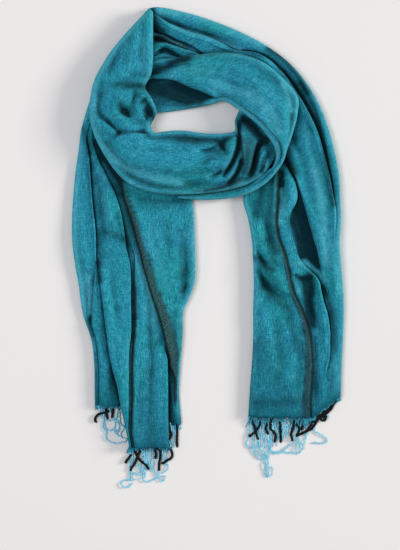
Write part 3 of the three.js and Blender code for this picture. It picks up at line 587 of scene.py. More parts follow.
BACK_HEM = [(-156, -223), (-117, -223)]
FRONT_HEM = [(-115, -282), (-55, -282)]
SIDE_HEM = [(-53, -250), (-37, -250)]
LEFT_TAIL = dict(
    sections=[
        [-167, 201, -80, 169, 5, 7, 7, 5, 0, 0, 0],
        [-177, 166, -72, 149, 5, 7, 7, 5, 0, 0, 0],
        [-181, 135, -50, 124, 5, 7, 7, 5, 0, 0, 0],
        [-185, 107, -33, 99, 5, 7, 8, 6, 0, 0, 0],
        [-188, 77, -23, 72, 6, 8, 8, 7, 0, 0, 0],
        [-190, 44, -19, 44, 7, 10, 10, 9, 0, 0, 0],
        [-190, 9, -18, 9, 8, 11, 12, 11, 0, 0, 0],
        [-186, -24, -17, -21, 8, 12, 13, 12, 0, 0, 0],
        [-181, -52, -18, -48, 8, 12, 13, 12, 0, 0, 0],
        [-178, -75, -25, -70, 8, 12, 12, 10, 0, 0, 0],
        [-174, -98, -34, -91, 7, 12, 12, 9, 0, 0, 0],
        [-163, -131, -35, -124, 7, 12, 11, 8, 0, 0, 0],
        [-159, -167, -38, -164, 7, 11, 10, 6, 0, 0, 0],
        [-158.5, -206, -40, -206, 7, 11, 9, 5, 0, 0, 0],
        [-157, -245, -37, -245, 6, 10, 8, 5, 0, 0, 0],
        [-152, -285, -37, -285, 6, 9, 7, 5, 0, 0, 0],
    ],
    folds=[
        # edge of the back leaf, over the outermost one
        [
            (-173, 149.5, 0.3), (-168.5, 107.5, 0.3), (-166, 65.5, 0.3), (-163, 23.5, 0.3),
            (-161.5, -4.5, 0.3), (-159, -25.5, 0.5), (-158, -39.5, 3), (-159.5, -53.5, 5), (-160.5, -69, 6),
            (-161.5, -84.5, 6), (-162.5, -100, 6), (-163.5, -116.5, 6), (-163.5, -133.5, 6),
        ],
        # a crease above; lower down the middle leaf's edge
        [
            (-173, 170.5, -2), (-170, 149.5, -4), (-166, 128.5, -6), (-164.5, 113, -7), (-163.5, 93.5, -7),
            (-162, 72.5, -7), (-160, 51.5, -7), (-158, 36, -7), (-156.5, 19, -7), (-156, 1, -6.5),
            (-156, -15.5, -5.5), (-155, -28.5, -3), (-152.5, -41, 3), (-149.5, -57.5, 6), (-147, -74.5, 7),
            (-145, -91.5, 7), (-143, -108, 7), (-140.5, -127.5, 7), (-138, -147.5, 7), (-134.5, -165.5, 7),
            (-131, -179.5, 8), (-126.5, -195, 8), (-123.5, -212, 8), (-121, -227, 8), (-117, -242.5, 6),
            (-113.5, -259.5, 6), (-110, -277.5, 6),
        ],
        # the middle leaf's other edge
        [
            (-161.5, 149.5, -3), (-153.5, 124, -5), (-145, 107.5, -6), (-138, 93.5, -6), (-131.5, 79.5, -6),
            (-126.5, 65.5, -6), (-122, 51.5, -6), (-118.5, 34.5, -6), (-116, 18, -6), (-114, 1, -5),
            (-110.5, -15.5, -4), (-108, -29.5, -4), (-107, -46.5, -5), (-107, -74.5, -5), (-106.5, -102.5, -5),
            (-107, -123.5, -5), (-109, -140.5, -4), (-110, -158.5, -3.5), (-110, -186.5, -3.5),
            (-110, -214.5, -3.5), (-110.5, -242.5, -3.5), (-111.5, -270.5, -3.5),
        ],
        # front leaf: the cloth's stitched edge
        [
            (-153.5, 149.5, 0.3), (-146.5, 124, 0.3), (-138, 107.5, 0.3), (-131, 90.5, 0.3),
            (-125.5, 72.5, 0.3), (-121, 58.5, 0.3), (-117, 44.5, 0.3), (-112.5, 29, 0.5), (-108.5, 12, 1),
            (-104.5, -3, 2.2), (-102, -15.5, 4.3), (-102, -32.5, 5), (-102, -57.5, 5.8), (-102, -77.5, 5.8),
            (-101.5, -97, 5.8), (-102, -116.5, 5.4), (-103.5, -133.5, 5), (-105, -151.5, 5),
            (-105.5, -172.5, 5), (-105.5, -200.5, 5), (-105.5, -221.5, 5), (-106.5, -242.5, 5),
            (-107, -263.5, 5), (-107, -284.5, 5),
        ],
        # front leaf's right fold
        [
            (-145, 149.5, -0.3), (-139.5, 124, -0.3), (-132.5, 107.5, -0.3), (-125.5, 90.5, -0.3),
            (-121, 72.5, -0.3), (-117, 58.5, -0.3), (-111.5, 44.5, -0.3), (-107, 29, -0.3), (-103, 12, -0.3),
            (-97.5, -7.5, -0.3), (-93, -27, -0.3), (-87.5, -46.5, -0.3), (-82, -66, -0.3), (-75, -86, -0.3),
            (-69.5, -102.5, -0.3), (-65, -119.5, -0.3), (-61.5, -135, -0.5), (-58.5, -147.5, -3),
            (-56, -158.5, -7), (-55.5, -172.5, -9), (-55, -200.5, -9), (-55, -228.5, -9), (-54.5, -256.5, -9),
            (-54, -284.5, -9),
        ],
        # top leaf: the cloth's other long edge
        [
            (-150.5, 149.5, 2.2), (-145, 125.5, 4.3), (-137, 107.5, 5.8), (-131, 93.5, 6.5), (-126, 79.5, 7.2),
            (-122, 65.5, 7.2), (-117, 53, 7.9), (-111.5, 40, 7.9), (-106.5, 26, 7.9), (-101.5, 12, 7.2),
            (-98.5, -3, 6.5), (-94, -17, 6.1), (-89.5, -31, 6.1), (-84.5, -46.5, 6.1), (-80, -62, 6.1),
            (-75.5, -76, 6.1), (-71.5, -88.5, 6.1), (-68, -102.5, 6.1), (-64.5, -116.5, 6.1), (-61, -132, 6.1),
            (-57.5, -147.5, 6.1), (-53.5, -163, 5.8), (-48.5, -177, 5), (-45, -189.5, 3.6),
            (-41.5, -203.5, 2.2), (-40.5, -212, 1), (-40.5, -249.5, 0.3),
        ],
    ],
    layers=[2, 3],
    panel_columns=11,
    hems=[BACK_HEM, BACK_HEM, FRONT_HEM, FRONT_HEM, FRONT_HEM, SIDE_HEM, SIDE_HEM],
    # a cloth edge: fold, whether the band lies on edge b's side, and its width from place to place
    selvedges=[
        (3, True, [(-40, 0), (-60, 2), (-300, 2.4)]),
        (5, True, [
            (140, 3), (60, 6), (0, 9), (-50, 12), (-100, 14), (-140, 15), (-180, 10), (-205, 4), (-230, 0),
        ]),
    ],
    bands=[],
    creases=[
        ("ridge", 3, 6, [
            (-96, 65.5), (-91.5, 37.5), (-84.5, 9.5), (-77.5, -15.5), (-70.5, -41), (-66.5, -63.5),
        ]),
        ("lip", -5, 0, [(-48.5, -21.5), (-44, -38), (-40, -55), (-36.5, -72), (-33.5, -87)]),
        ("trough", 6, 5, [(-37, 34.5), (-34.5, 6.5), (-32, -21.5), (-31.5, -44), (-32, -69)]),
        ("trough", 2.5, 4, [(-156, 7.5), (-143.5, 9), (-129.5, 9.5), (-115.5, 9.5)]),
        ("ridge", 2, 3, [(-153.5, 1), (-139.5, 1), (-125.5, 2), (-114, 4)]),
        ("trough", 2.5, 5, [(-80.5, -74.5), (-82, -116.5), (-79, -158.5), (-80.5, -200.5)]),
        ("ridge", 2, 6, [(-91.5, -88.5), (-89, -137.5), (-89, -193.5), (-90.5, -249.5)]),
        ("trough", 3, 5, [(-153.5, 121.5), (-150.5, 79.5), (-146.5, 37.5), (-142, 12)]),
        ("ridge", 2.5, 6, [(-145, 100.5), (-140.5, 65.5), (-136.5, 30.5)]),
        ("trough", 2, 5, [(-133.5, -21.5), (-132.5, -60.5), (-125.5, -102.5), (-121, -144.5)]),
        ("ridge", 2, 6, [(-119.5, -74.5), (-124, -116.5), (-121, -165.5), (-115.5, -214.5)]),
        ("trough", 3, 6, [(-128, -144.5), (-132.5, -179.5), (-131, -214.5)]),
        ("trough", 3, 5, [(-170, -53.5), (-168.5, -81.5), (-167.5, -109.5)]),
        ("ridge", 2, 5, [(-178.5, 65.5), (-175.5, 9.5), (-170, -39.5)]),
        ("trough", 2, 4, [(-62.5, 44.5), (-56.5, 9.5), (-52.5, -21.5)]),
        ("ridge", 1.5, 4, [(-49.5, 48.5), (-47, 16.5), (-42.5, -11.5)]),
        ("trough", 2, 4, [(-51, -88.5), (-47, -116.5), (-44, -144.5)]),
        ("ridge", 2, 5, [(-73.5, -175.5), (-70.5, -214.5), (-69.5, -256.5)]),
        ("trough", 2, 4, [(-94.5, -175.5), (-96, -214.5), (-94.5, -259.5)]),
        ("ridge", 2.5, 4, [(-47, -189.5), (-45.5, -214.5), (-45.5, -239.5)]),
    ],
    # painted shade (positive) or painted highlight (negative): strength, half width, line
    painted_light_and_shade=[
        (0.85, 6, [(-156, 146.5), (-146.5, 128.5), (-135, 113), (-119.5, 93.5)]),
        (0.35, 4, [(-94.5, 67), (-59.5, 64), (-24.5, 65.5)]),
        (0.3, 2.5, [(-157.5, -147.5), (-157, -179.5), (-155.5, -217.5)]),
        (0.6, 5, [(-174.5, 166), (-168.5, 149.5), (-166, 132.5)]),
        (0.3, 3.5, [(-167.5, 114.5), (-164.5, 79.5), (-160.5, 43)]),
        (0.5, 6, [(-145, 20.5), (-131, 18), (-117, 9.5)]),
        (0.4, 5, [(-125.5, 43), (-115.5, 15), (-110, -10)]),
        (0.95, 4, [(-154.5, -21.5), (-152.5, -35.5), (-150, -48)]),
        (0.35, 3, [(-98.5, -29.5), (-98, -60.5), (-97.5, -100)]),
        (0.6, 4, [(-166, -102.5), (-164.5, -113.5), (-162.5, -125)]),
        (0.3, 7, [(-94.5, 60), (-66.5, 58.5), (-38.5, 60)]),
        (-0.1, 6, [(-35.5, 26), (-35.5, -4.5), (-38.5, -29.5)]),
        (0.3, 4, [(-35.5, -109.5), (-37, -137.5), (-41.5, -151.5)]),
        (0.25, 10, [(-80.5, -172.5), (-80.5, -214.5), (-77.5, -284.5)]),
        (-1, 8, [
            (-184, 135.5), (-188.5, 93.5), (-190.5, 51.5), (-189.5, 9.5), (-185.5, -35.5), (-178.5, -81.5),
        ]),
        (-0.4, 5, [(-153.5, 110), (-146.5, 72.5), (-139.5, 29)]),
        (-0.4, 5, [(-122.5, 65.5), (-111.5, 30.5), (-103, -4.5)]),
        (-0.9, 5, [(-103, -11.5), (-94.5, -32.5), (-84.5, -57.5), (-77.5, -86), (-73.5, -113.5)]),
        (-1, 6, [(-167.5, -44), (-166, -67.5), (-167.5, -91.5)]),
        (-0.3, 6, [(-84.5, 16.5), (-69.5, -21.5), (-58, -53.5)]),
        (-0.4, 3, [(-110.5, -130.5), (-110, -179.5), (-110, -228.5)]),
    ],
)

left_tail_grids = cloth_piece(LEFT_TAIL, (0, 15.3), 225, 11)
left_tail = build_cloth("left_tail_cloth", left_tail_grids, (True, False))
left_tail.data.materials.append(wool)
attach(left_tail, "root")
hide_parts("left_tail")


# ------------------------------------------------- the outer band and right tail
# The stretch that leaves the apex, runs over the top of the loop and down the right: the same wool in
# one run, rolled at its outer edge, gathered under the knot and opened out towards its hem.

RIGHT_HEM = [(57, -238), (146, -240), (186, -210)]
OUTER_RUN = dict(
    sections=[
        [-134, 264, -97, 319, 5, 7, 7, 6, 0, 0, 0],
        [-78, 261, -76, 336, 6, 7, 8, 8, 0, 0, 0],
        [-38, 259, -33, 329, 6, 8, 9, 10, 0, 0, 0],
        [-1, 257, 9, 316, 6, 8, 10, 12, 0, 0, 0],
        [34, 254, 50, 299, 6, 8, 11, 13, 0, 0, 0],
        [62, 245, 85, 280, 6, 8, 11, 14, 0, 0, 0],
        [85, 225, 115, 257, 6, 8, 12, 14, 0, 0, 0],
        [100, 201, 139, 229, 6, 8, 12, 14, 0, 0, 0],
        [107, 175, 158, 196, 6, 8, 12, 14, 0, 0, 0],
        [103, 147, 170, 163, 6, 8, 12, 15, 0, 0, 0],
        [82, 121, 178, 133, 6, 8, 8, 15, 0, 0, 0],
        [59, 93, 184, 102, 7, 8, 4, 15, 0, 0, 0],
        [50, 67, 186, 68, 9, 9, 4, 15, 0, 0, 0],
        [57, 39, 187, 37, 11, 10, 4, 15, 0, 0, 0],
        [62, 9, 185, 7, 12, 11, 4, 14, 0, 0, 0],
        [64, -21, 187, -24, 12, 12, 6, 13, 0, 0, 0],
        [65, -54, 190, -58, 12, 13, 9, 12, 0, 0, 0],
        [64, -89, 191, -91, 12, 13, 10, 11, 0, 0, 0],
        [64, -128, 190, -128, 11, 13, 10, 10, 0, 0, 0],
        [62, -167, 188, -167, 11, 12, 10, 10, 0, 0, 0],
        [59, -206, 187, -206, 10, 12, 9, 9, 0, 0, 0],
        [57, -243, 186, -243, 10, 11, 8, 8, 0, 0, 0],
    ],
    folds=[
        # lowest fold at the apex; lower down the stitched edge of the right tail
        [
            (-86, 263, -3), (-77.5, 265.5, -4), (-66.5, 270.5, -5), (-55.5, 269.5, -6), (-45.5, 266.5, -5),
            (-35.5, 263, -3), (-10.5, 260, -1), (24.5, 257, -0.5), (52.5, 247.5, -0.5), (70.5, 226.5, -0.5),
            (84.5, 205.5, -0.5), (94.5, 170.5, -1), (98.5, 142.5, -1), (100, 121.5, -2), (99.5, 100.5, -5),
            (99, 79.5, -6), (98, 58.5, -6), (97, 37.5, -6), (98, 23.5, -6), (100.5, 11, -6), (104.5, 1, -6),
            (108, -9, -6), (111.5, -21.5, -6), (115, -37, -6), (117.5, -51, -6), (121, -63.5, -5.5),
            (126, -74.5, -5), (131.5, -86, -5), (136.5, -98.5, -5), (141.5, -113.5, -5), (145, -130.5, -5),
            (146.5, -147.5, -5), (147.5, -165.5, -5), (146.5, -186.5, -5), (145.5, -203.5, -5),
            (144, -221.5, -5), (144, -239.5, -5),
        ],
        # second fold; lower down the roll that stands up and turns over
        [
            (-86, 281, -3), (-77.5, 284, -4), (-69.5, 286, -5), (-59.5, 286, -6), (-49.5, 283, -7),
            (-38.5, 279.5, -7), (-27.5, 276, -7), (-16, 272.5, -6), (-6.5, 268, -4), (6.5, 263, -1),
            (38.5, 253, -0.3), (59.5, 244.5, -0.3), (76.5, 228, -0.3), (90.5, 205.5, -0.3), (100, 174.5, -0.3),
            (104.5, 142.5, -0.3), (107, 124, -1), (110.5, 114.5, -4), (116, 104.5, -9), (122, 93.5, -11),
            (125.5, 81, -12), (126.5, 69.5, -12), (124, 60, -10), (119, 51.5, -7), (115.5, 41.5, -3),
            (117, 29, -2), (119.5, 15, -2), (124, 1, -2), (126.5, -9, -4), (131, -18.5, -8), (138, -27.5, -10),
            (146.5, -35.5, -10), (153.5, -42.5, -10), (158, -51, -10), (160, -63.5, -10), (163.5, -77.5, -9),
            (167.5, -90, -9), (170, -102.5, -9), (172, -119.5, -8), (172, -137.5, -7), (171.5, -154.5, -5),
            (168.5, -170, -3), (166, -186.5, -1), (164.5, -242.5, -0.3),
        ],
        # outer leaf's edge
        [
            (-86, 320, 3), (-77.5, 312, 6), (-72, 305.5, 7), (-63.5, 300.5, 7), (-52.5, 296, 7),
            (-41.5, 290, 7), (-30, 286, 6.5), (-20.5, 281, 6), (-12, 275.5, 5), (-5, 271, 4), (6.5, 265.5, 2),
            (38.5, 261.5, 0.5), (66.5, 253, 0.5), (84.5, 233.5, 0.5), (101.5, 208, 0.5), (107, 174.5, 1),
            (108.5, 142.5, 2), (110, 128.5, 5), (115.5, 117, 9), (120.5, 104.5, 12), (126, 90.5, 14),
            (130.5, 76.5, 15), (134.5, 62.5, 16), (138.5, 48.5, 16), (142, 34.5, 16), (146, 20.5, 16),
            (149.5, 8, 16), (153, -3, 15), (155.5, -14.5, 13), (158, -27, 10), (160.5, -39.5, 6),
            (164.5, -53.5, 3), (168.5, -67.5, 2), (174.5, -88.5, 1), (177, -116.5, 0.5), (177, -158.5, 0.3),
            (174.5, -242.5, 0.3),
        ],
        # valley inside the outer roll
        [
            (-75.5, 328.5, -3), (-69.5, 324, -4), (-62.5, 319, -5), (-55.5, 314.5, -6), (-45.5, 309.5, -6),
            (-31.5, 303.5, -7), (-17.5, 299, -7), (-3.5, 295.5, -7), (10.5, 290, -7), (23, 284, -8),
            (34.5, 277.5, -8), (45.5, 274.5, -7), (59.5, 273.5, -7), (73.5, 270, -7), (87.5, 261.5, -8),
            (98.5, 251.5, -8), (110, 239, -9), (119.5, 225, -9), (129.5, 209.5, -9), (138, 195.5, -9),
            (146.5, 179, -9), (154, 162, -9), (159.5, 145, -9), (164.5, 127, -9), (168.5, 110, -9),
            (172.5, 93.5, -8), (175.5, 76.5, -7), (178.5, 61, -6), (180.5, 46, -5), (181.5, 30.5, -3),
            (182, 9.5, -1), (183.5, -21.5, -0.3), (182.5, -242.5, -0.3),
        ],
    ],
    layers=[2, 3],
    panel_columns=20,
    hems=[RIGHT_HEM] * 5,
    selvedges=[(0, False, [(130, 0), (110, 3), (0, 4), (-60, 5.5), (-110, 7), (-150, 9.5), (-245, 12)])],
    bands=[(0.9, 3, [(-76, 293), (-66, 294), (-56, 290), (-46, 285), (-36, 281), (-26, 277)])],
    creases=[
        ("lip", 6, 0, [
            (-80.5, 272), (-73.5, 274), (-66.5, 277.5), (-59.5, 281.5), (-52.5, 279.5), (-45.5, 274),
            (-38.5, 268.5), (-31.5, 263.5),
        ]),
        ("trough", 5, 3, [(-69.5, 273.5), (-61, 277), (-54, 275), (-45.5, 269.5)]),
        ("lip", 4, 0, [
            (-83.5, 293), (-76.5, 295), (-68, 295.5), (-59.5, 291.5), (-49.5, 286), (-40, 281), (-27.5, 277),
        ]),
        ("trough", 4, 3, [(-79, 290.5), (-70.5, 291.5), (-62.5, 289), (-55.5, 286.5)]),
        ("lip", -4, 0, [
            (-80.5, 299), (-73.5, 300.5), (-66.5, 299), (-58, 294.5), (-48.5, 289.5), (-37, 284.5),
            (-24.5, 278.5),
        ]),
        ("trough", 6, 4, [(-79, 314.5), (-76.5, 308.5), (-70.5, 303), (-63.5, 298.5)]),
        ("trough", 4, 3.5, [
            (-66.5, 325), (-55.5, 318), (-42.5, 312), (-28.5, 306), (-13.5, 301.5), (3.5, 296.5), (17.5, 290),
            (31.5, 283), (45.5, 278.5),
        ]),
        ("trough", 4, 4, [
            (76.5, 272.5), (94.5, 260), (110, 243), (124, 225), (135, 208), (145, 188.5), (154.5, 169),
            (161.5, 149.5), (168, 127), (173, 104.5), (177, 79.5), (180.5, 57),
        ]),
        ("ridge", 3.5, 6, [
            (-59.5, 326), (-31.5, 317.5), (-3.5, 310.5), (24.5, 299), (52.5, 286.5), (76.5, 278),
        ]),
        ("ridge", 3.5, 6, [
            (129.5, 229), (145, 204), (157.5, 177.5), (168.5, 146.5), (175.5, 114.5), (181.5, 79.5),
        ]),
        ("ridge", 2.5, 5, [(-66.5, 313), (-45.5, 302), (-24.5, 292), (-3.5, 285), (17.5, 277)]),
        ("ridge", 2.5, 7, [
            (129.5, 177.5), (136.5, 149.5), (145, 114.5), (153.5, 79.5), (160.5, 44.5), (167.5, 9.5),
        ]),
        ("trough", 2, 6, [(115.5, 163.5), (124, 142.5), (133.5, 121.5)]),
        ("ridge", 5, 7, [(108.5, 100.5), (115.5, 88), (117, 72.5), (112.5, 55.5), (105.5, 39)]),
        ("trough", 6, 5, [(103, 110), (104.5, 93.5), (103, 72.5), (101.5, 51.5)]),
        ("trough", 5, 5, [(66.5, -4), (72, -11.5), (79, -20), (84.5, -28.5)]),
        ("lip", 4, 0, [(65, -0.5), (72, -8), (79, -16.5), (89, -23.5)]),
        ("lip", 5, 0, [
            (65, -18.5), (70.5, -29.5), (77.5, -39.5), (87.5, -49.5), (98.5, -58.5), (111.5, -67),
            (124, -76.5),
        ]),
        ("trough", 3.5, 6, [(70.5, -39.5), (80.5, -52), (93, -63.5), (108.5, -74.5), (122.5, -88.5)]),
        ("ridge", 3.5, 7, [(76.5, -21.5), (84.5, -35.5), (96, -48), (108.5, -59)]),
        ("lip", 5, 0, [(115.5, -36), (125.5, -39.5), (135, -41), (145, -41.5), (153.5, -41.5)]),
        ("trough", 4, 4, [(121, -41.5), (132.5, -44.5), (143.5, -45.5)]),
        ("trough", 5, 6, [(142, -49.5), (143.5, -67.5), (146.5, -86), (152, -105.5)]),
        ("ridge", 2.5, 4, [(122.5, -49.5), (126.5, -63.5), (132.5, -76)]),
        ("ridge", 3, 4, [(153.5, -56.5), (157.5, -74.5), (161.5, -95.5), (164.5, -123.5), (164.5, -147.5)]),
        ("trough", 2.5, 4, [(167.5, -57.5), (171.5, -77.5), (175.5, -100), (178, -130.5), (177, -151.5)]),
        ("ridge", 2.5, 6, [(173, -4.5), (177, -39.5), (181.5, -74.5)]),
        ("trough", 2.5, 5, [(163, 9.5), (166, -15.5), (168.5, -39.5)]),
        ("trough", 2.5, 5, [(76.5, 58.5), (82, 30.5), (90.5, 2.5)]),
        ("ridge", 2, 6, [(66.5, 44.5), (72, 16.5), (79, -4.5)]),
        ("ridge", 2, 7, [(76.5, -88.5), (82, -130.5), (82, -172.5)]),
        ("trough", 1.8, 6, [(96, -102.5), (100, -144.5), (101.5, -193.5)]),
        ("ridge", 1.8, 6, [(115.5, -116.5), (115.5, -158.5), (112.5, -207.5)]),
        ("trough", 2, 5, [(128, -130.5), (129.5, -165.5), (128, -207.5)]),
        ("trough", 2.5, 4, [(150.5, -123.5), (151, -158.5), (150.5, -193.5), (149, -221.5)]),
        ("ridge", 2.5, 5, [(160.5, -175.5), (161.5, -200.5), (160.5, -219)]),
        ("ridge", 2, 5, [(180, -161.5), (180, -186.5), (178.5, -209)]),
    ],
    # painted shade (positive) or painted highlight (negative): strength, half width, line
    painted_light_and_shade=[
        (0.7, 8, [(84.5, 102), (76.5, 82), (73.5, 65.5), (70.5, 44.5)]),
        (0.95, 5, [(145, -41), (146.5, -53.5), (147.5, -66)]),
        (0.4, 5, [(129.5, 228), (139.5, 216.5)]),
        (-0.8, 6, [(182.5, 65.5), (184, 9.5), (187, -60.5)]),
        (0.3, 8, [(62.5, -137.5), (59.5, -186.5), (59.5, -217.5)]),
        (0.4, 4, [(131, -109.5), (133.5, -137.5), (135, -153)]),
        (0.95, 7, [(-80.5, 334), (-75, 320), (-69.5, 307.5), (-62.5, 300.5)]),
        (0.7, 4, [(-79, 295), (-73.5, 291.5), (-66.5, 289.5)]),
        (0.7, 4, [(-80.5, 275.5), (-77.5, 267)]),
        (0.95, 6, [(129.5, 54), (136.5, 32), (142, 9.5), (147.5, -13), (152, -29.5)]),
        (0.6, 7, [(117, 37.5), (125.5, 15), (135, -11.5)]),
        (0.95, 7, [(108.5, 146.5), (114, 124), (121, 104.5)]),
        (0.5, 4, [(105.5, 114.5), (104.5, 100.5), (103, 86.5)]),
        (0.6, 5, [(93, 114.5), (90.5, 93.5), (87.5, 65.5), (86, 37.5), (90.5, 12), (97.5, -7.5)]),
        (0.55, 6, [(83.5, 9.5), (89, -4.5), (93, -21.5)]),
        (0.45, 5, [(76.5, -29.5), (87.5, -39.5), (98.5, -52)]),
        (0.7, 4, [(66.5, -14.5), (76.5, -23), (90.5, -32.5)]),
        (0.95, 6, [(138, -42.5), (136.5, -60.5), (140.5, -86), (149, -109.5)]),
        (0.6, 6, [(76.5, -57.5), (90.5, -70.5), (107, -83)]),
        (0.8, 4.5, [
            (84.5, 278), (107, 261.5), (126.5, 237.5), (140.5, 212.5), (152, 188.5), (160.5, 149.5),
            (167.5, 104.5), (175.5, 58.5),
        ]),
        (0.5, 3.5, [(98.5, 250), (112.5, 233.5), (125.5, 215)]),
        (0.5, 3.5, [(126.5, 208), (138, 187), (146.5, 160.5)]),
        (0.6, 4, [(-66.5, 264), (-38.5, 267), (-3.5, 271), (38.5, 274), (76.5, 267)]),
        (0.45, 6, [(115.5, -88.5), (119.5, -116.5), (121, -144.5)]),
        (0.3, 14, [(76.5, -137.5), (87.5, -172.5), (108.5, -207.5)]),
        (0.4, 8, [(70.5, -217.5), (101.5, -220), (132.5, -214.5)]),
        (-0.9, 5, [(-66.5, 330), (-24.5, 327), (10.5, 317.5), (45.5, 302), (76.5, 284)]),
        (-0.9, 4, [(-49.5, 309), (-10.5, 298), (24.5, 286.5), (45.5, 278)]),
        (-0.6, 3, [(-44, 285), (-30, 279.5), (-16, 274)]),
        (-0.9, 6, [(103, 79.5), (104.5, 58.5), (100, 34.5)]),
        (-0.6, 4, [(124, 90.5), (125.5, 76.5), (122.5, 65.5)]),
        (-0.9, 6, [(153.5, 107.5), (159, 65.5), (163, 16.5), (168.5, -25.5)]),
        (-0.35, 7, [(133.5, 170.5), (146.5, 121.5), (159, 58.5)]),
        (-0.5, 4, [(54, 58.5), (59.5, 16.5), (59.5, -46.5), (58, -130.5), (55.5, -221.5)]),
        (-0.6, 4, [(110, -23), (121, -25.5), (132.5, -21.5)]),
        (-0.9, 5, [(136.5, -21.5), (147.5, -29.5), (157.5, -38), (163, -48)]),
        (-0.4, 4, [(146.5, -137.5), (149, -172.5), (149, -212)]),
        (-0.4, 5, [(173, -74.5), (178.5, -116.5), (180, -158.5), (177, -200.5)]),
        (-0.4, 5, [(122.5, -46.5), (126.5, -55), (124, -63.5)]),
    ],
)

outer_grids = cloth_piece(OUTER_RUN, (0, 21.3), 255, 12)
outer_run = build_cloth("outer_run_cloth", outer_grids, (True, False))
outer_run.data.materials.append(wool)
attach(outer_run, "root")
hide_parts("outer_band", "right_tail")


# ----------------------------------------------------------------- the neck band
# The stretch behind the neck: it comes out from under the left of the loop, lies on the outer band, and
# turns in at the right, where it rolls under the front as a narrow crescent.

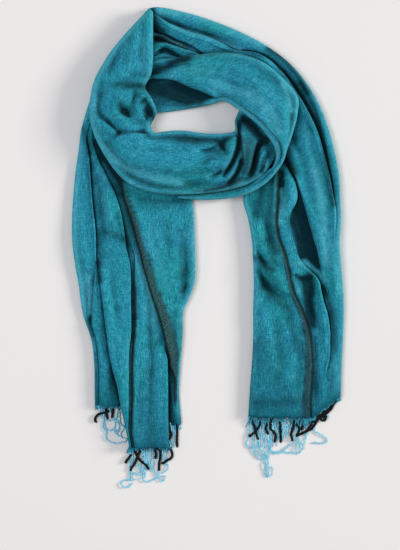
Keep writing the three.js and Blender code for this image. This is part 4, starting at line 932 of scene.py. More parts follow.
NECK_BAND = dict(
    sections=[
        [-80, 169.4, -167, 201.4, 6, 9, 9, 6, 0, 0, 0],
        [-80, 180, -139, 243, 6, 8.5, 8.5, 6, 0, 0, 0],
        [-78, 187, -78, 260, 5, 7, 8.5, 10, 0, 0, 7],
        [-52, 190, -48, 264, 9, 8, 12, 17, 0, 0, 11.4],
        [-24, 194, -16, 268, 12, 12, 16, 20, 0, 0, 11.9],
        [1, 199, 19, 271, 15, 18, 21, 21, 0, 2, 11.9],
        [23, 204, 51, 268, 16, 23, 25, 22, 6, 7, 12.4],
        [43, 191, 82, 255, 27, 30, 30, 24, 18, 13, 12.9],
        [58, 180, 108, 232, 32, 35, 34, 26, 23, 13, 14],
        [72, 168, 126, 208, 35, 39, 37, 27, 26, 17, 15],
        [83, 154, 125, 182, 37, 41, 39, 28, 28, 17, 14.5],
        [92, 140, 118, 155, 38, 41, 39, 30, 28, 17, 13],
        [95, 128, 111, 135, 37, 40, 38, 31, 22, 16, 12],
        [94, 120, 106, 119, 34, 37, 36, 30, 16, 13, 12],
        [88, 109, 97, 105, 30, 33, 32, 28, 12.5, 12.5, 12.5],
        [69, 106, 83, 90, 12, 27, 29, 26, 4, 9, 12.5],
        [55, 93, 63, 77, 10, 23, 27, 24, 3, 8, 12.5],
        [35, 86, 39, 69, 9, 20, 25, 22, 2, 7, 11],
        [9, 81, 11, 66, 9, 18, 22, 20, 2, 7, 11],
        [-19, 79, -18, 66, 9, 16, 20, 18, 3, 7, 11],
        [-41, 78, -41, 68, 10, 14, 17, 16, 5, 8, 12],
    ],
    folds=[
        # the band's own fold over its inner leaf, then the rolled rim
        [
            (-122.5, 219.5, 2), (-94.5, 228, 3), (-80.5, 235, 5), (-69.5, 235, 7), (-55.5, 234.5, 8),
            (-44, 232, 9), (-33, 227, 9), (-21.5, 222, 9), (-10.5, 218, 9), (0.5, 213, 8), (9, 209, 6),
            (17.5, 207, 3), (27.5, 202.5, 2), (37, 195, 2), (45.5, 187.5, 4), (55.5, 182.5, 6), (65, 178, 7),
            (73.5, 172.5, 7), (82, 165.5, 7), (89.5, 157.5, 7), (96, 150, 7), (101, 142, 7), (103, 134, 7),
            (103, 125.5, 6), (99.5, 117, 4), (91.5, 107, 4), (80.5, 95.5, 4), (68, 87, 3), (51, 79.5, 3),
            (31.5, 74, 2), (10.5, 70.5, 1), (-17.5, 68.5, 0.5),
        ],
    ],
    layers=[2, 2],
    panel_columns=38,
    selvedges=[],
    bands=[],
    creases=[
        ("trough", 3, 7, [(-66.5, 250), (-45.5, 253), (-24.5, 258.5)]),
        ("ridge", 2.5, 6, [(-45.5, 242), (-24.5, 236), (-3.5, 229), (17.5, 221), (38.5, 209.5)]),
        ("trough", 1.8, 5, [(-10.5, 244.5), (17.5, 236), (45.5, 222), (66.5, 205.5)]),
        ("ridge", 1.8, 6, [(24.5, 253), (52.5, 239), (76.5, 216.5), (90.5, 194)]),
        ("trough", 2, 6, [(76.5, 188.5), (87.5, 174.5), (98.5, 158)]),
        ("ridge", 2.5, 5, [(87.5, 208), (101.5, 188.5), (107, 163.5), (107, 141)]),
        ("trough", 2, 4, [(108.5, 216.5), (115.5, 194), (115.5, 172)]),
        ("trough", 4, 5, [(-66.5, 228), (-45.5, 225), (-24.5, 216.5), (-3.5, 209.5)]),
        ("lip", -3, 0, [(-77.5, 215), (-59.5, 212), (-38.5, 208), (-17.5, 205.5), (0.5, 204)]),
        ("ridge", 2.5, 3, [(49.5, 181), (62.5, 174), (73.5, 164), (83.5, 153.5), (90.5, 142.5), (94.5, 131)]),
    ],
    # painted shade (positive) or painted highlight (negative): strength, half width, line
    painted_light_and_shade=[
        (0.95, 9, [(-83.5, 228), (-66.5, 222), (-45.5, 215), (-24.5, 208), (-10.5, 204)]),
        (0.5, 4, [(-104.5, 240.5), (-87.5, 243), (-69.5, 244.5)]),
        (0.6, 12, [(-80.5, 216.5), (-59.5, 208), (-31.5, 201)]),
        (0.6, 7, [(-83.5, 240.5), (-69.5, 247.5), (-49.5, 257), (-27.5, 263)]),
        (0.45, 4, [(-38.5, 263), (-3.5, 267), (38.5, 271), (76.5, 261.5)]),
        (0.45, 3, [(-80.5, 75), (-24.5, 72.5), (24.5, 78), (59.5, 89), (79, 104.5)]),
        (-0.5, 9, [(6.5, 228), (28.5, 222), (45.5, 214)]),
        (-0.8, 8, [(59.5, 212.5), (76.5, 197), (90.5, 180), (98.5, 160.5)]),
        (-0.8, 5, [(105.5, 225), (112.5, 208), (117, 188.5)]),
        (-0.3, 9, [(-49.5, 244.5), (-24.5, 247.5), (3.5, 247.5)]),
        (-0.6, 8, [(24.5, 194), (52.5, 180), (76.5, 160.5), (90.5, 135.5)]),
        (0.5, 6, [(-72, 253), (-58, 247.5), (-49.5, 257), (-33, 264)]),
        (-0.5, 3.5, [(20.5, 207), (45.5, 193), (68, 177.5), (84.5, 160.5), (97.5, 141), (96, 124)]),
    ],
)

neck_grids = cloth_piece(NECK_BAND, (0, 20), 250, 13)
neck_band = build_cloth("neck_band_cloth", neck_grids, (True, True))
neck_band.data.materials.append(wool)
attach(neck_band, "root")
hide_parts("neck_band")


# ---------------------------------------------------------------- the front wrap
# The stretch that comes out of the knot, gathered in soft valleys, crosses the front, and rises at the
# left to the apex, where it turns under to become the outer band.

FRONT_WRAP = dict(
    sections=[
        [46, 194, 100, 148, 15, 19, 19, 17, 4, 12, 12],
        [41, 184, 97, 135, 17, 22, 23, 18, 3, 12, 12],
        [38, 175, 92, 121, 20, 30, 32, 24, 2, 12, 10.5],
        [39, 166, 83, 107, 24, 37, 38, 32, 1, 10, 11.3],
        [37, 161, 70, 95, 26, 40, 40, 33, 0, 8, 11.3],
        [29, 159, 51, 85, 26, 40, 41, 32, 0, 6, 10.5],
        [12, 158, 27, 79, 25, 38, 40, 30, 0, 3, 8],
        [-9, 159, 1, 75, 24, 37, 39, 29, 0, 6, 10],
        [-30, 162, -27, 73, 24, 37, 38, 29, 4, 10.5, 11.8],
        [-50, 162, -55, 73, 24, 37, 37, 28, 10, 11.8, 11.8],
        [-65, 160, -82, 77, 25, 37, 37, 28, 10.5, 11.8, 11.8],
        [-73, 159, -106, 86, 26, 37, 36, 28, 11.8, 11.8, 11.8],
        [-77, 161, -124, 100, 26, 37, 36, 27, 11.8, 11.8, 11.8],
        [-79, 164, -141, 123, 26, 36, 35, 26, 11.8, 11.8, 11.8],
        [-80, 168, -153, 144, 26, 34, 35, 26, 11.8, 11.8, 11.8],
        [-78, 173, -162, 168, 27, 33, 35, 26, 11.8, 11.8, 11.8],
        [-74, 180, -165, 190, 28, 33, 34, 26, 11.8, 11.8, 11.8],
        [-71, 190, -163, 212, 29, 33, 33, 25, 11.8, 11.8, 11.8],
        [-78, 207, -158, 232, 30, 33, 32, 25, 11.8, 11.8, 11.8],
        [-87, 223, -148, 252, 30, 32, 31, 24, 11.8, 11.8, 11.8],
        [-79, 240, -136, 271, 29, 31, 30, 24, 11.8, 11.8, 11.8],
        [-76, 261, -122, 289, 28, 30, 29, 23, 11.8, 11.8, 11.8],
        [-76, 284, -107, 306, 26, 28, 27, 22, 11.8, 11.8, 11.8],
        [-76, 306, -93, 321, 24, 26, 25, 21, 12.2, 12.2, 12.2],
        [-76, 327, -81, 334, 20, 21, 21, 19, 12.5, 12.5, 12.5],
    ],
    folds=[],
    layers=[2, 3],
    panel_columns=96,
    selvedges=[],
    bands=[
        (0.45, 6, [(54, 152), (57, 140), (56, 126), (54, 112), (51, 98)]),
        (0.9, 1.4, [(41, 180), (43, 166), (46, 149), (48, 132), (50, 115), (50, 98)]),
        (0.8, 2.6, [(-24, 74), (4, 78), (26, 83), (40, 89), (50, 96)]),
    ],
    creases=[
        ("lip", 8, 0, [
            (-76.5, 157.5), (-86, 157), (-97.5, 157.5), (-108.5, 158), (-117, 155.5), (-125.5, 152.5),
            (-135, 150),
        ]),
        ("trough", 5, 4, [(-133.5, 154.5), (-125.5, 157), (-118.5, 160), (-111.5, 160.5)]),
        ("trough", 5.5, 4.5, [
            (-153.5, 190), (-147.5, 181.5), (-140.5, 175.5), (-132.5, 167.5), (-125.5, 161.5), (-119.5, 158),
        ]),
        ("lip", -3, 0, [(-145, 176), (-136.5, 169), (-129.5, 162), (-125.5, 156.5)]),
        ("trough", 6, 6, [(-126.5, 198.5), (-121, 191.5), (-112.5, 186), (-104.5, 181.5)]),
        ("lip", -4, 0, [(-131, 201), (-128, 193), (-121, 185), (-112.5, 180), (-104.5, 177), (-96, 173)]),
        ("ridge", 3, 5, [(-133.5, 194), (-128, 184.5), (-118.5, 176), (-107, 169)]),
        ("trough", 4, 6, [(-131, 228), (-119.5, 228), (-107, 226.5), (-94.5, 222)]),
        ("trough", 3, 5, [(-104.5, 219.5), (-101.5, 208), (-103, 197)]),
        ("ridge", 3, 2.6, [
            (-98, 188.5), (-100, 197), (-97.5, 205), (-91.5, 209), (-85.5, 209), (-80.5, 205.5),
        ]),
        ("trough", 4, 2.6, [(-93, 197), (-91.5, 202), (-87.5, 203.5), (-84, 201)]),
        ("lip", -5, 0, [(-98.5, 194), (-93, 187), (-87.5, 179), (-82.5, 170.5), (-79, 162)]),
        ("trough", 6, 5, [(-90.5, 191.5), (-84.5, 187), (-79, 183), (-76.5, 177.5)]),
        ("ridge", 2.5, 6, [(-160.5, 219.5), (-161.5, 198.5), (-159, 174.5), (-152, 152)]),
        ("trough", 2, 5, [(-149, 216.5), (-152, 198.5), (-154.5, 188.5)]),
        ("ridge", 2.5, 5, [(-80.5, 317.5), (-82, 292), (-82, 267), (-82, 244.5)]),
        ("trough", 2.5, 5, [(-90.5, 312), (-93, 286.5), (-93, 261.5), (-90.5, 242)]),
        ("ridge", 2, 6, [(-107, 289.5), (-112.5, 264), (-117, 242)]),
        ("trough", 2, 5, [(-125.5, 275.5), (-132.5, 256), (-138, 233.5)]),
        ("trough", 12, 3.6, [
            (44, 153.5), (44, 141), (41.5, 130), (37, 120), (32, 111), (26.5, 102.5), (20.5, 95),
        ]),
        ("lip", 7, 0, [(42.5, 174.5), (45.5, 158), (47.5, 141), (49, 125.5), (50.5, 110), (49.5, 93.5)]),
        ("lip", -5, 0, [(41.5, 152), (38, 137), (31.5, 124), (23, 113), (13.5, 103), (2, 96)]),
        ("trough", 10, 3, [(47.5, 123), (45.5, 111.5), (40.5, 100.5), (33.5, 92), (24.5, 85)]),
        ("lip", -4, 0, [(45.5, 130), (42, 116), (35.5, 104), (27.5, 94), (16, 88)]),
        ("trough", 12, 3.8, [
            (82, 150), (73.5, 142.5), (68.5, 134), (66, 124), (64.5, 114.5), (61.5, 104.5), (58, 96),
        ]),
        ("lip", -6, 0, [(70.5, 151), (66, 138), (63, 125.5), (60.5, 113), (56.5, 100.5)]),
        ("lip", 5, 0, [(89, 141), (79, 135.5), (73.5, 127), (71, 117), (68.5, 107.5), (63.5, 96)]),
        ("lip", -3.5, 0, [(90.5, 132.5), (82.5, 126.5), (78.5, 117), (75.5, 107.5), (70, 96)]),
        ("lip", -3.5, 0, [(96.5, 127), (90.5, 118.5), (84.5, 109), (78.5, 99)]),
        ("trough", 8, 5, [(49.5, 181.5), (59.5, 173), (69.5, 163.5), (77.5, 153.5)]),
        ("trough", 6, 4, [(42.5, 186), (42.5, 172), (44, 158)]),
        ("ridge", 4, 4, [(58, 144), (59, 130), (57, 116), (54.5, 103)]),
        ("ridge", 4, 5, [(40, 155), (33.5, 144), (29.5, 134), (20.5, 123)]),
        ("trough", 6, 3.6, [(19, 148), (21.5, 139.5), (25, 130.5)]),
        ("lip", 4, 0, [(16, 148), (22.5, 137.5), (28, 128.5)]),
        ("trough", 3.5, 5, [(26, 109), (14.5, 102), (0.5, 96)]),
        ("lip", -3.5, 0, [(14.5, 144.5), (5, 137.5), (-5, 135.5), (-14.5, 136)]),
        ("trough", 3, 5, [(10.5, 139), (0.5, 133.5), (-10.5, 132.5)]),
        ("trough", 2, 6, [(-87.5, 135.5), (-59.5, 132.5), (-31.5, 134)]),
        ("ridge", 2, 7, [(-108.5, 145), (-80.5, 144), (-45.5, 148)]),
        ("ridge", 2, 7, [(-115.5, 114.5), (-87.5, 104.5), (-52.5, 100.5), (-17.5, 100.5)]),
        ("trough", 1.8, 6, [(-136.5, 135.5), (-122.5, 113), (-101.5, 96), (-73.5, 86.5)]),
        ("trough", 2, 5, [(-45.5, 90.5), (-17.5, 89), (6.5, 93.5)]),
    ],
    # painted shade (positive) or painted highlight (negative): strength, half width, line
    painted_light_and_shade=[
        (0.9, 3.4, [(44, 151), (42.5, 137), (37, 121.5), (28.5, 107.5)]),
        (0.75, 2.8, [(47, 120), (42.5, 106), (33, 93.5)]),
        (0.9, 3.8, [(80.5, 149.5), (70.5, 139.5), (66.5, 125.5), (62.5, 107.5)]),
        (0.95, 6.5, [(49.5, 180), (59.5, 170.5), (70.5, 159), (82, 146.5)]),
        (0.5, 4, [(20.5, 145), (23, 137), (26, 128.5)]),
        (0.6, 2.6, [(-3.5, 76.5), (16, 81), (31.5, 86.5), (44, 95)]),
        (0.7, 3.5, [(84.5, 131), (77.5, 118.5), (75, 104.5)]),
        (0.3, 16, [(55.5, 163.5), (59.5, 135.5), (54, 104.5)]),
        (0.4, 4, [(54, 93.5), (66.5, 97.5), (79, 110)]),
        (0.5, 6, [(-128, 225), (-108.5, 223.5), (-86, 223.5)]),
        (0.95, 5.5, [(-83.5, 197), (-76.5, 183), (-74, 172)]),
        (0.5, 5, [(14.5, 132.5), (6.5, 124), (-5, 117)]),
        (0.3, 6, [(-94.5, 211), (-103, 197), (-114, 188.5)]),
        (0.4, 4, [(-133.5, 153.5), (-119.5, 158), (-107, 159)]),
        (0.35, 6, [(-38.5, 145), (-3.5, 144), (14.5, 144)]),
        (0.3, 8, [(-125.5, 200), (-111.5, 191.5), (-100, 180)]),
        (0.3, 5, [(-105.5, 292), (-108.5, 275.5), (-111.5, 258.5)]),
        (-0.9, 8, [(-93, 324.5), (-117, 295), (-139.5, 267), (-156, 236), (-161.5, 205.5), (-164.5, 170.5)]),
        (-1, 6, [(-159, 159), (-145, 137), (-128, 120), (-105.5, 106), (-73.5, 95), (-38.5, 89)]),
        (0.4, 3, [(-80.5, 74), (-31.5, 69.5), (10.5, 72.5), (42.5, 82)]),
        (0.4, 5, [(-103, 239), (-86, 239)]),
        (0.35, 5, [(-111.5, 222), (-94.5, 223.5), (-80.5, 212.5)]),
        (0.35, 6, [(-115.5, 114.5), (-66.5, 104.5), (-24.5, 102), (17.5, 107.5)]),
        (-0.5, 4, [(-90.5, 289.5), (-89, 272.5), (-90.5, 253)]),
        (-0.5, 2.5, [(37, 135.5), (31.5, 121.5), (20.5, 107.5)]),
        (-0.5, 2, [(42.5, 121.5), (38.5, 107.5), (30, 96)]),
    ],
)

wrap_grids = cloth_piece(FRONT_WRAP, (0, 24), 290, 14)
front_wrap = build_cloth("front_wrap_cloth", wrap_grids, (True, True))
front_wrap.data.materials.append(wool)
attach(front_wrap, "root")
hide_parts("front_wrap")


# ------------------------------------------------------------- the stitched edges
# Both long edges of the cloth are overlocked: a dark thread runs along the very edge, and brown-grey
# stitches reach over it every few millimetres. They follow the lips that are cloth edges.

STITCH_PITCH, STITCH_SPAN = 3.1, 3.0      # from stitch to stitch, and how far one reaches over the edge
STITCH_FOOT, STITCH_RISE, STITCH_LEAN = 0.8, 1.0, 0.8    # it starts under the edge, climbs, and leans forward
CORD_RADIUS, CORD_LIFT, STITCH_RADIUS = 0.75, 0.2, 0.5
INNER_COLUMNS = 4             # a column of the grid this far in from the nose gives the cloth's slope


def tube_mesh(name, paths, radius, sides):
    """Tubes along point rows: a ring of sides round each point, in the plane across the path, a little thinner
    at both ends, which are closed by a point. Paths are in mm, and raised to lie on the table."""
    points, faces, first = [], [], 0
    turn = np.linspace(0, 2 * np.pi, sides, endpoint=False)
    for path in paths:
        path = np.column_stack([path[:, :2], np.maximum(path[:, 2], radius)])
        tangent = np.gradient(path, axis=0)
        tangent /= np.linalg.norm(tangent, axis=1)[:, None] + 1e-9
        side = np.cross(tangent, (0.0, 0.0, 1.0)) + (1e-6, 0, 0)
        side /= np.linalg.norm(side, axis=1)[:, None]
        up = np.cross(side, tangent)
        n = len(path)
        taper = np.minimum(1, 0.55 + 0.45 * np.minimum(np.arange(n), np.arange(n)[::-1]) / 2)[:, None, None]
        rings = path[:, None] + radius * taper * (np.cos(turn)[None, :, None] * side[:, None]
                                                  + np.sin(turn)[None, :, None] * up[:, None])
        points.append(np.concatenate([rings.reshape(-1, 3), path[:1], path[-1:]]))
        index = first + np.arange(n * sides).reshape(n, sides)
        nxt = np.roll(index, -1, axis=1)
        start, end = np.full(sides, first + n * sides), np.full(sides, first + n * sides + 1)
        faces += np.stack([index[1:], nxt[1:], nxt[:-1], index[:-1]], axis=2).reshape(-1, 4).tolist()
        faces += np.stack([index[0], nxt[0], start], axis=1).tolist()
        faces += np.stack([nxt[-1], index[-1], end], axis=1).tolist()
        first += len(points[-1])
    mesh = bpy.data.meshes.new(name)
    mesh.from_pydata((np.concatenate(points) * MM).tolist(), [], faces)
    mesh.polygons.foreach_set("use_smooth", np.ones(len(mesh.polygons), bool))
    mesh.update()
    thing = bpy.data.objects.new(name, mesh)
    bpy.context.scene.collection.objects.link(thing)
    return thing


def evenly(path, pitch):
    """Points at an even pitch along a path."""
    run = np.concatenate([[0], np.cumsum(np.linalg.norm(np.diff(path, axis=0), axis=1))])
    places = np.arange(0, run[-1], pitch)
    return np.stack([np.interp(places, run, path[:, k]) for k in range(3)], axis=1)


def yarn_material(name, colour, lighter, roughness):
    """Spun fibre: a fine noise on Object coordinates, a little over a millimetre from fleck to fleck, between
    a colour and a lighter one, with little shine and a faint sheen."""
    material = bpy.data.materials.new(name)
    material.use_nodes = True
    tree = material.node_tree
    tree.nodes.clear()
    where = add_node(tree, "ShaderNodeTexCoord")
    fibre = add_node(tree, "ShaderNodeTexNoise", Vector=(where, "Object"), Scale=900.0, Detail=2.0)
    tone = add_node(tree, "ShaderNodeValToRGB", {"stops": [(0.35, linear(colour)), (0.7, linear(lighter))]},
                    _0=(fibre, 0))
    shader = add_node(tree, "ShaderNodeBsdfPrincipled", Base_Color=(tone, 0), Roughness=roughness,
                      Specular_IOR_Level=0.2, Sheen_Weight=0.15)
    add_node(tree, "ShaderNodeOutputMaterial", Surface=(shader, 0))
    return material


cords, stitches = [], []
# a stretch's grids, its fold, whether the cloth lies on edge b's side, and at what share it starts and ends
for grids, fold, b_side, start, end in (
    (left_tail_grids, 3, True, 0.42, 1.0),
    (left_tail_grids, 5, True, 0.2, 0.93),
    (outer_grids, 0, False, 0.44, 1.0),
):
    column = grids["noses"][fold]
    inner = column + (INNER_COLUMNS if b_side else -INNER_COLUMNS)
    rows = slice(int(start * len(grids["points"])), int(end * len(grids["points"])))
    nose = evenly(grids["points"][rows, column], STITCH_PITCH / 2)
    cords.append(nose + (0, 0, CORD_LIFT))
    across = grids["points"][rows, inner] - grids["points"][rows, column]
    run = np.linspace(0, 1, len(nose))
    flat = np.stack([np.interp(run, np.linspace(0, 1, len(across)), across[:, k]) for k in range(3)], axis=1)
    flat /= np.linalg.norm(flat[:, :2], axis=1)[:, None] + 1e-6
    k = np.arange(1, len(nose) - 2, 2)
    edge, lean = nose[k], STITCH_LEAN * (nose[k + 1] - nose[k])
    top = edge + flat[k] * (STITCH_SPAN, STITCH_SPAN, 0) + (0, 0, STITCH_RISE)
    stitches += list(np.stack([edge - (0, 0, STITCH_FOOT), edge + (0, 0, 0.4), 0.5 * (edge + top) + (0, 0, 0.9),
                               top + lean + (0, 0, 0.3)], axis=1))
edge_cords = tube_mesh("edge_cords", cords, CORD_RADIUS, 6)
edge_cords.data.materials.append(yarn_material("overlock thread, near black", "#0a1114", "#1a2528", 0.9))
edge_stitches = tube_mesh("edge_stitches", stitches, STITCH_RADIUS, 5)
edge_stitches.data.materials.append(yarn_material("overlock thread, brown grey", "#2a3a3c", "#5a6a66", 0.9))
for trim in (edge_cords, edge_stitches):
    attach(trim, "root")


# ------------------------------------------------------------------- the fringe
# The warp ends are left loose at both hems: short near-black yarns of two plies, and thin light blue
# ones that have crinkled into open loops. All of them rest on the table.

BLACK_YARNS = [
    [(178.5, -214.5), (173.5, -222), (169.5, -228.5), (164.5, -233.5)],
    [(146.5, -248), (140, -257.5), (132.5, -262), (125.5, -265.5)],
    [(80.5, -235.5), (84, -245.5), (82, -255), (85.5, -263.5)],
    [(126.5, -235.5), (125.5, -246.5), (129, -256.5), (124.5, -266.5)],
    [(159, -228.5), (155.5, -235.5), (148.5, -240.5), (142.5, -244.5)],
    [(181.5, -210.5), (179.5, -217.5), (173.5, -224.5), (168, -230), (161, -234)],
    [
        (-138.5, -230), (-142, -232), (-147.5, -233.5), (-153.5, -235.5), (-157, -239.5), (-158, -244),
        (-155.5, -246.5),
    ],
    [(-132.5, -227), (-133, -232.5), (-134.5, -241)],
    [(-143, -227), (-142, -234), (-140.5, -242)],
    [
        (-105.5, -277.5), (-102.5, -286.5), (-98.5, -294.5), (-94.5, -300), (-89, -304.5), (-84.5, -309),
        (-82.5, -313),
    ],
    [(-94, -280.5), (-96, -289.5), (-99.5, -297), (-102.5, -304.5), (-106.5, -310), (-108.5, -315.5)],
    [(-107, -291.5), (-110, -296), (-113.5, -300), (-115.5, -304)],
    [(-73.5, -282), (-68.5, -284.5), (-66, -289), (-66.5, -296), (-68, -304), (-68, -310), (-68.5, -315.5)],
    [(-74, -284.5), (-72.5, -291.5), (-73.5, -298.5)],
    [
        (-55.5, -279.5), (-51.5, -285), (-49.5, -291.5), (-51, -296.5), (-56.5, -300), (-61.5, -303.5),
        (-65, -304),
    ],
    [(-55.5, -248), (-53.5, -256.5), (-51, -263), (-52.5, -268), (-54, -272)],
    [(-43.5, -248), (-42.5, -259.5), (-43, -270.5), (-42.5, -282)],
    [(60.5, -234), (63, -244), (66, -252.5), (68.5, -261), (71, -271)],
    [(73, -235.5), (74, -245.5), (72, -253.5), (66.5, -260), (61.5, -264), (57.5, -267)],
    [(91.5, -239.5), (88.5, -248), (88.5, -255), (92.5, -259.5), (95.5, -265), (95, -270.5), (94, -275.5)],
    [(101.5, -244), (102.5, -256.5), (103, -266.5), (102.5, -275.5)],
    [(122, -244), (120, -255), (117.5, -262), (118.5, -268), (119.5, -273)],
    [(132.5, -232.5), (133.5, -241), (133.5, -251), (131.5, -258.5)],
    [(132.5, -241), (127.5, -248), (123, -251)],
    [
        (178, -213), (175.5, -224.5), (169.5, -232), (162.5, -237.5), (156, -241), (152, -247.5),
        (147.5, -254.5), (140.5, -258.5), (134, -261.5), (128, -264),
    ],
    [
        (152, -239), (157.5, -236.5), (163, -235.5), (166.5, -239), (164, -244), (159, -242), (161, -238),
        (165, -240.5),
    ],
    [(173, -213), (172, -221.5), (168, -228)],
    [(135.5, -232.5), (138.5, -242), (144.5, -246), (151, -245)],
    [(145, -232.5), (145, -242.5)],
]
BLUE_YARNS = [
    [
        (-145, -227), (-146, -239.5), (-147, -249.5), (-146, -256.5), (-140, -258), (-132.5, -257),
        (-124.5, -258),
    ],
    [(-138, -227), (-133, -240.5), (-126.5, -245), (-124, -251), (-124.5, -257), (-128, -261), (-131, -257)],
    [(-153.5, -223), (-150.5, -232.5), (-146.5, -242.5), (-139.5, -244), (-132.5, -243), (-126.5, -244.5)],
    [
        (-125.5, -227), (-129.5, -248), (-131, -258), (-128, -263), (-122.5, -266.5), (-117, -269),
        (-112.5, -270.5),
    ],
    [
        (-149, -225.5), (-145, -248), (-142, -258), (-143, -265), (-142, -270.5), (-136.5, -274),
        (-129.5, -276), (-122.5, -275), (-115.5, -273.5), (-112.5, -270.5),
    ],
    [
        (-124, -230), (-122.5, -248), (-119, -251), (-117.5, -255), (-120.5, -259.5), (-122, -265),
        (-119.5, -268.5),
    ],
    [(-110.5, -279), (-110, -291.5), (-107, -296), (-110.5, -299)],
    [(-94.5, -279), (-91.5, -291.5), (-93, -301.5), (-96, -310), (-94, -317)],
    [
        (-101.5, -279), (-100, -303), (-96, -308.5), (-90.5, -312.5), (-88.5, -318), (-94.5, -321),
        (-100, -318.5), (-107, -318.5),
    ],
    [(-85.5, -279), (-86, -300), (-89, -308.5), (-92.5, -315.5), (-96, -321.5)],
    [(-107, -279), (-109, -301.5), (-109.5, -321), (-108, -326.5), (-103, -327.5), (-99.5, -324.5)],
    [
        (-104.5, -279), (-107, -324), (-108.5, -328), (-114, -327), (-119.5, -329.5), (-121.5, -333.5),
        (-118.5, -337), (-112.5, -338), (-108.5, -335.5), (-106.5, -331),
    ],
    [
        (-89, -279), (-87.5, -318), (-90.5, -324), (-91, -328), (-86, -330), (-79, -328.5), (-73.5, -325.5),
        (-68.5, -324),
    ],
    [
        (-80.5, -279), (-80, -296), (-82, -304), (-79, -310), (-76, -315.5), (-71.5, -321), (-66.5, -323),
        (-62.5, -321),
    ],
    [(-77.5, -279), (-77, -307), (-81.5, -310), (-80.5, -314), (-75, -313)],
    [(-68, -279), (-69.5, -315.5), (-70.5, -321), (-68, -326.5), (-64.5, -329.5), (-61, -327), (-59, -321)],
    [(-86, -279), (-83.5, -293), (-77.5, -298.5), (-76, -305.5)],
    [(-61, -279), (-58, -300), (-56, -310), (-60.5, -315.5), (-65, -318.5)],
    [(-90.5, -279), (-88.5, -296), (-84.5, -303), (-82.5, -310.5)],
    [(-63.5, -279), (-63, -293), (-60.5, -301.5), (-57.5, -308.5)],
    [(-53, -246.5), (-49.5, -255), (-45.5, -259.5), (-44, -264.5)],
    [(-49, -246.5), (-47, -265), (-47.5, -272)],
    [(-40.5, -246.5), (-39.5, -255), (-42.5, -260)],
    [(-56, -253.5), (-54, -272), (-52, -279), (-54, -286.5)],
    [
        (58, -232.5), (57, -265), (55.5, -270.5), (54.5, -277.5), (57.5, -282), (62.5, -282.5), (68, -280.5),
        (71, -276),
    ],
    [(63.5, -232.5), (65, -282), (68, -287.5), (72, -291.5), (77.5, -294.5), (84, -294.5)],
    [(61.5, -232.5), (63.5, -280.5), (65.5, -290), (69.5, -296), (76.5, -298.5), (83.5, -297), (86.5, -293)],
    [(69.5, -232.5), (71.5, -279), (75, -286), (80.5, -291.5), (85.5, -295)],
    [(76.5, -232.5), (72.5, -277.5), (77.5, -279), (83.5, -280.5), (87.5, -278), (89, -272), (93.5, -273.5)],
    [
        (79, -232.5), (78.5, -284.5), (79.5, -297), (80, -305.5), (80.5, -314), (81.5, -321), (84.5, -323),
        (89, -321), (90.5, -312.5), (89.5, -307.5),
    ],
    [(83.5, -232.5), (85.5, -279), (84.5, -298.5), (85, -307), (83.5, -315.5), (85.5, -323)],
    [
        (93, -232.5), (89.5, -279), (88, -284.5), (91.5, -287.5), (98.5, -288.5), (105.5, -286), (111.5, -282),
        (117.5, -277.5),
    ],
    [(86, -232.5), (86.5, -276), (87.5, -287.5), (96, -290.5), (105.5, -288), (114, -289.5), (121.5, -289)],
    [
        (124.5, -232.5), (124, -253.5), (124.5, -265), (124, -277.5), (123.5, -289), (127, -290.5),
        (132.5, -285), (135.5, -276), (138, -268), (141.5, -260),
    ],
    [(129.5, -232.5), (131, -256.5), (128.5, -266.5), (130, -275), (134, -279), (134.5, -285)],
    [
        (146.5, -232.5), (150.5, -258), (156, -262), (163, -266.5), (167.5, -270.5), (166, -275), (159, -276),
        (150.5, -275), (145.5, -276),
    ],
    [(97.5, -232.5), (96, -251), (99, -262), (97.5, -272.5)],
    [(100, -232.5), (102, -248), (99.5, -259.5), (101, -270.5)],
    [(103.5, -232.5), (106, -248), (103, -259.5), (106, -271)],
    [(108.5, -232.5), (110.5, -249.5), (107, -261), (110, -269)],
    [(111.5, -232.5), (109, -244), (112.5, -253.5), (110.5, -263.5)],
    [(114, -232.5), (116, -249.5), (112, -258), (114.5, -267)],
    [(105.5, -232.5), (103.5, -242.5), (107, -252.5), (105, -265), (108, -273.5)],
    [(77, -232.5), (78.5, -249.5), (82.5, -256.5), (79.5, -266.5), (83.5, -275)],
    [(82, -232.5), (82.5, -253.5), (87.5, -262), (90.5, -271)],
    [(67, -232.5), (69.5, -244), (67, -251), (69.5, -258.5)],
    [(90.5, -232.5), (89, -244), (93, -252.5), (91, -262)],
    [(126, -232.5), (127.5, -251), (125.5, -262), (128.5, -272), (127.5, -283)],
    [(138, -232.5), (135.5, -248), (140, -256.5), (137, -266.5)],
    [(154.5, -225.5), (159, -234), (164.5, -238), (168.5, -234.5)],
    [(140.5, -230), (142.5, -239.5), (138.5, -248), (142, -258), (138, -265)],
    [(149, -228.5), (146.5, -239.5), (152, -248), (148.5, -256.5)],
    [(163, -221.5), (166.5, -230), (161, -238.5), (164.5, -245.5)],
    [(118.5, -232.5), (120.5, -245.5), (116.5, -256.5), (120.5, -268), (117, -279)],
    [(95, -232.5), (93.5, -245.5), (96.5, -256.5), (94, -268), (96.5, -280.5)],
    [(71.5, -232.5), (74.5, -242.5), (71.5, -253.5), (75.5, -265), (72.5, -277.5)],
    [(170, -217.5), (173.5, -225.5), (168, -232.5), (170.5, -241)],
    [(-52, -246.5), (-50.5, -259.5), (-53.5, -268), (-49, -277.5), (-51.5, -287.5)],
    [(-46.5, -246.5), (-44.5, -258), (-47, -270.5), (-43.5, -280.5)],
]

# two plies twisted round each other: their radius, how far off the yarn's middle they lie, length of a turn
BLACK_PLY, BLACK_OFFSET, BLACK_PITCH = 1.2, 0.85, 5.5
BLUE_RADIUS = 0.88
BLACK_STEP, BLUE_STEP = 0.8, 0.7          # from point to point along a yarn
BLACK_LIFT, BLUE_LIFT, BLUE_CRINKLE = 0.5, 1.1, 0.42     # how high the arches are, how far a crinkle swings
ROOT_HEIGHT = 3.0             # the yarns leave the hem between its layers


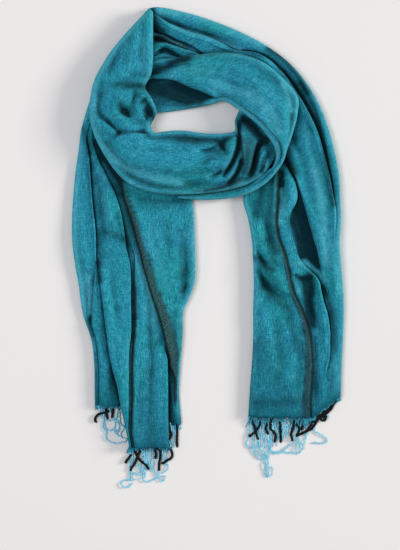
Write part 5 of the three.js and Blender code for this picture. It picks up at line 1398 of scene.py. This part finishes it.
def yarn_path(plan, pitch, radius, crinkle, lift, rng):
    """A yarn's middle line: its plan through hand-placed points, crinkled sideways by two sine waves, and
    its height, from the hem down to the table with a few low arches."""
    rough = spline(plan, np.linspace(0, len(plan) - 1, 14 * (len(plan) - 1) + 1))
    line = evenly(np.column_stack([rough + CENTRE, np.zeros(len(rough))]), pitch)
    run = pitch * np.arange(len(line))
    tangent = np.gradient(line, axis=0)
    side = np.column_stack([-tangent[:, 1], tangent[:, 0]]) / (np.linalg.norm(tangent, axis=1)[:, None] + 1e-9)
    phases = rng.uniform(0, 6.28, 4)
    grow = np.clip(run / 8, 0, 1)
    sway = crinkle * grow * (np.sin(run / 1.05 + phases[0]) + 0.7 * np.sin(run / 0.62 + phases[1]))
    line[:, :2] += side * sway[:, None]
    arch = lift * grow * (0.5 + 0.5 * np.sin(run / 4.1 + phases[2])) ** 2
    line[:, 2] = radius + 0.15 + (ROOT_HEIGHT - radius) * np.exp(-(run / 6.0) ** 2) + arch
    return line


rng = np.random.default_rng(5)
plies = []
for plan in BLACK_YARNS:
    line = yarn_path(plan, BLACK_STEP, BLACK_PLY + BLACK_OFFSET, 0.0, BLACK_LIFT, rng)
    tangent = np.gradient(line, axis=0)
    tangent /= np.linalg.norm(tangent, axis=1)[:, None] + 1e-9
    side = np.cross(tangent, (0.0, 0.0, 1.0))
    up = np.cross(side, tangent)
    twist = 2 * np.pi * BLACK_STEP * np.arange(len(line)) / BLACK_PITCH + rng.uniform(0, 6.28)
    for half in (0, np.pi):
        swing = np.cos(twist + half)[:, None] * side + np.sin(twist + half)[:, None] * up
        plies.append(line + BLACK_OFFSET * swing)
black_yarns = tube_mesh("black_yarns", plies, BLACK_PLY, 7)
black_yarns.data.materials.append(yarn_material("near black wool yarn", "#070c0e", "#1b2629", 0.85))
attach(black_yarns, "root")
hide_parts("back_fringe_black", "front_fringe_black", "side_fringe_black", "right_fringe_black")

lines = [yarn_path(plan, BLUE_STEP, BLUE_RADIUS, BLUE_CRINKLE, BLUE_LIFT, rng) for plan in BLUE_YARNS]
blue_yarns = tube_mesh("blue_yarns", lines, BLUE_RADIUS, 6)
blue_yarns.data.materials.append(yarn_material("light blue wool yarn", "#54b7d4", "#b0e4f0", 0.8))
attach(blue_yarns, "root")
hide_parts("back_fringe_blue", "front_fringe_blue", "side_fringe_blue", "right_fringe_blue")

# Short fibres that fray out of the hems between the yarns, a few from each column of the cloth. They are
# longest in a tuft in the middle of the right hem, and short where its corner is tied into the black knot.
FRAY_COUNT, FRAY_RADIUS, FRAY_POINTS = 5, 0.58, 6
FRAY_LEAST, FRAY_MOST, TUFT_LENGTH = 2.0, 6.0, 22
TUFT_PLACE, TUFT_WIDTH, CORNER_PLACE, CORNER_FADE = 100, 26, 142, 3
ROOT_SHARE, ROOT_MOST, ROOT_INSIDE = 0.6, 4.5, 1.5       # they start between the layers, just inside the hem
LEFT_FRAY, RIGHT_FRAY = 0.15, 0.75
fray = []
for grids, thick in ((left_tail_grids, LEFT_FRAY), (outer_grids, RIGHT_FRAY)):
    end = grids["points"][-1]
    shown = np.flatnonzero((grids["kind"] == 0) | (grids["kind"] == 2))
    for column in np.repeat(shown, FRAY_COUNT):
        rise = (0, 0, min(end[column][2] * ROOT_SHARE, ROOT_MOST))
        root = end[column] * (1, 1, 0) + (rng.uniform(-1, 1), ROOT_INSIDE, 0) + rise
        corner = thick / (1 + np.exp((root[0] - CORNER_PLACE) / CORNER_FADE))
        tuft = max(corner, np.exp(-((root[0] - TUFT_PLACE) / TUFT_WIDTH) ** 2))
        reach = rng.uniform(FRAY_LEAST, FRAY_MOST) + TUFT_LENGTH * tuft * rng.uniform(0, 1) ** 1.5
        sway = rng.uniform(-1.8, 1.8, 2) * (1 + 0.12 * reach)
        fray.append(np.array([root, root + (sway[0], -0.55 * reach, -0.8),
                              root + (sway[0] + sway[1], -reach, 0.6 - root[2])]))
fibres = [spline(path, np.linspace(0, 2, FRAY_POINTS)) for path in fray]
frayed = tube_mesh("hem_fray", fibres, FRAY_RADIUS, 4)
frayed.data.materials.append(yarn_material("teal wool fibre", "#1c7f9a", "#62bccf", 0.85))
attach(frayed, "root")


# --------------------------------------------------------- table, light and view
# A pale matt table top, a soft window from the right, a weaker lamp overhead and a pale room, seen from
# straight above.

VIEW_CENTRE = (-12.5 * MM, -40.5 * MM)
VIEW_HEIGHT = 770 * MM        # what the frame shows from top to bottom at the cloth
CAMERA_HEIGHT, CLOTH_LEVEL = 2.6, 12 * MM
SENSOR = 36
TABLE_HALF, TABLE_LEVEL = 4, -0.4 * MM        # just under the cloth

table = bpy.data.meshes.new("table_top")
corners = [(x * TABLE_HALF, y * TABLE_HALF, TABLE_LEVEL) for x, y in ((-1, -1), (1, -1), (1, 1), (-1, 1))]
table.from_pydata(corners, [], [(0, 1, 2, 3)])
table_top = bpy.data.objects.new("table_top", table)
bpy.context.scene.collection.objects.link(table_top)
painted = bpy.data.materials.new("matt white board")
painted.use_nodes = True
board = painted.node_tree.nodes["Principled BSDF"]
board.inputs["Base Color"].default_value = linear("#dfdcdb")
board.inputs["Roughness"].default_value = 0.9
table.materials.append(painted)


def lamp(name, place, aim, size, power, colour):
    """A square area light at a place, turned towards an aim."""
    data = bpy.data.lights.new(name, "AREA")
    data.size, data.energy, data.color = size, power, linear(colour)[:3]
    light = bpy.data.objects.new(name, data)
    light.location = place
    away = np.array(place) - np.array(aim)
    tilt, heading = math.acos(away[2] / np.linalg.norm(away)), math.atan2(away[1], away[0])
    light.rotation_euler = (tilt, 0, heading + math.pi / 2)
    bpy.context.scene.collection.objects.link(light)


lamp("window", (5.8, 1.0, 2.5), (0, 0, 0), 1.8, 300, "#fff8f0")
lamp("overhead", (-1.8, 0.2, 4.0), (0, 0, 0), 2.2, 76, "#fbfbff")
world = bpy.data.worlds.new("pale room")
world.use_nodes = True
world.node_tree.nodes["Background"].inputs["Color"].default_value = linear("#eef3f8")
world.node_tree.nodes["Background"].inputs["Strength"].default_value = 0.4
bpy.context.scene.world = world
bpy.context.scene.view_settings.view_transform = "Standard"
bpy.context.scene.view_settings.look = "Medium High Contrast"

camera_data = bpy.data.cameras.new("camera")
camera_data.sensor_fit = "AUTO"
camera_data.sensor_width = SENSOR
camera_data.lens = SENSOR * CAMERA_HEIGHT / VIEW_HEIGHT
camera = bpy.data.objects.new("camera", camera_data)
camera.location = (*VIEW_CENTRE, CAMERA_HEIGHT + CLOTH_LEVEL)
bpy.context.scene.collection.objects.link(camera)
bpy.context.scene.camera = camera
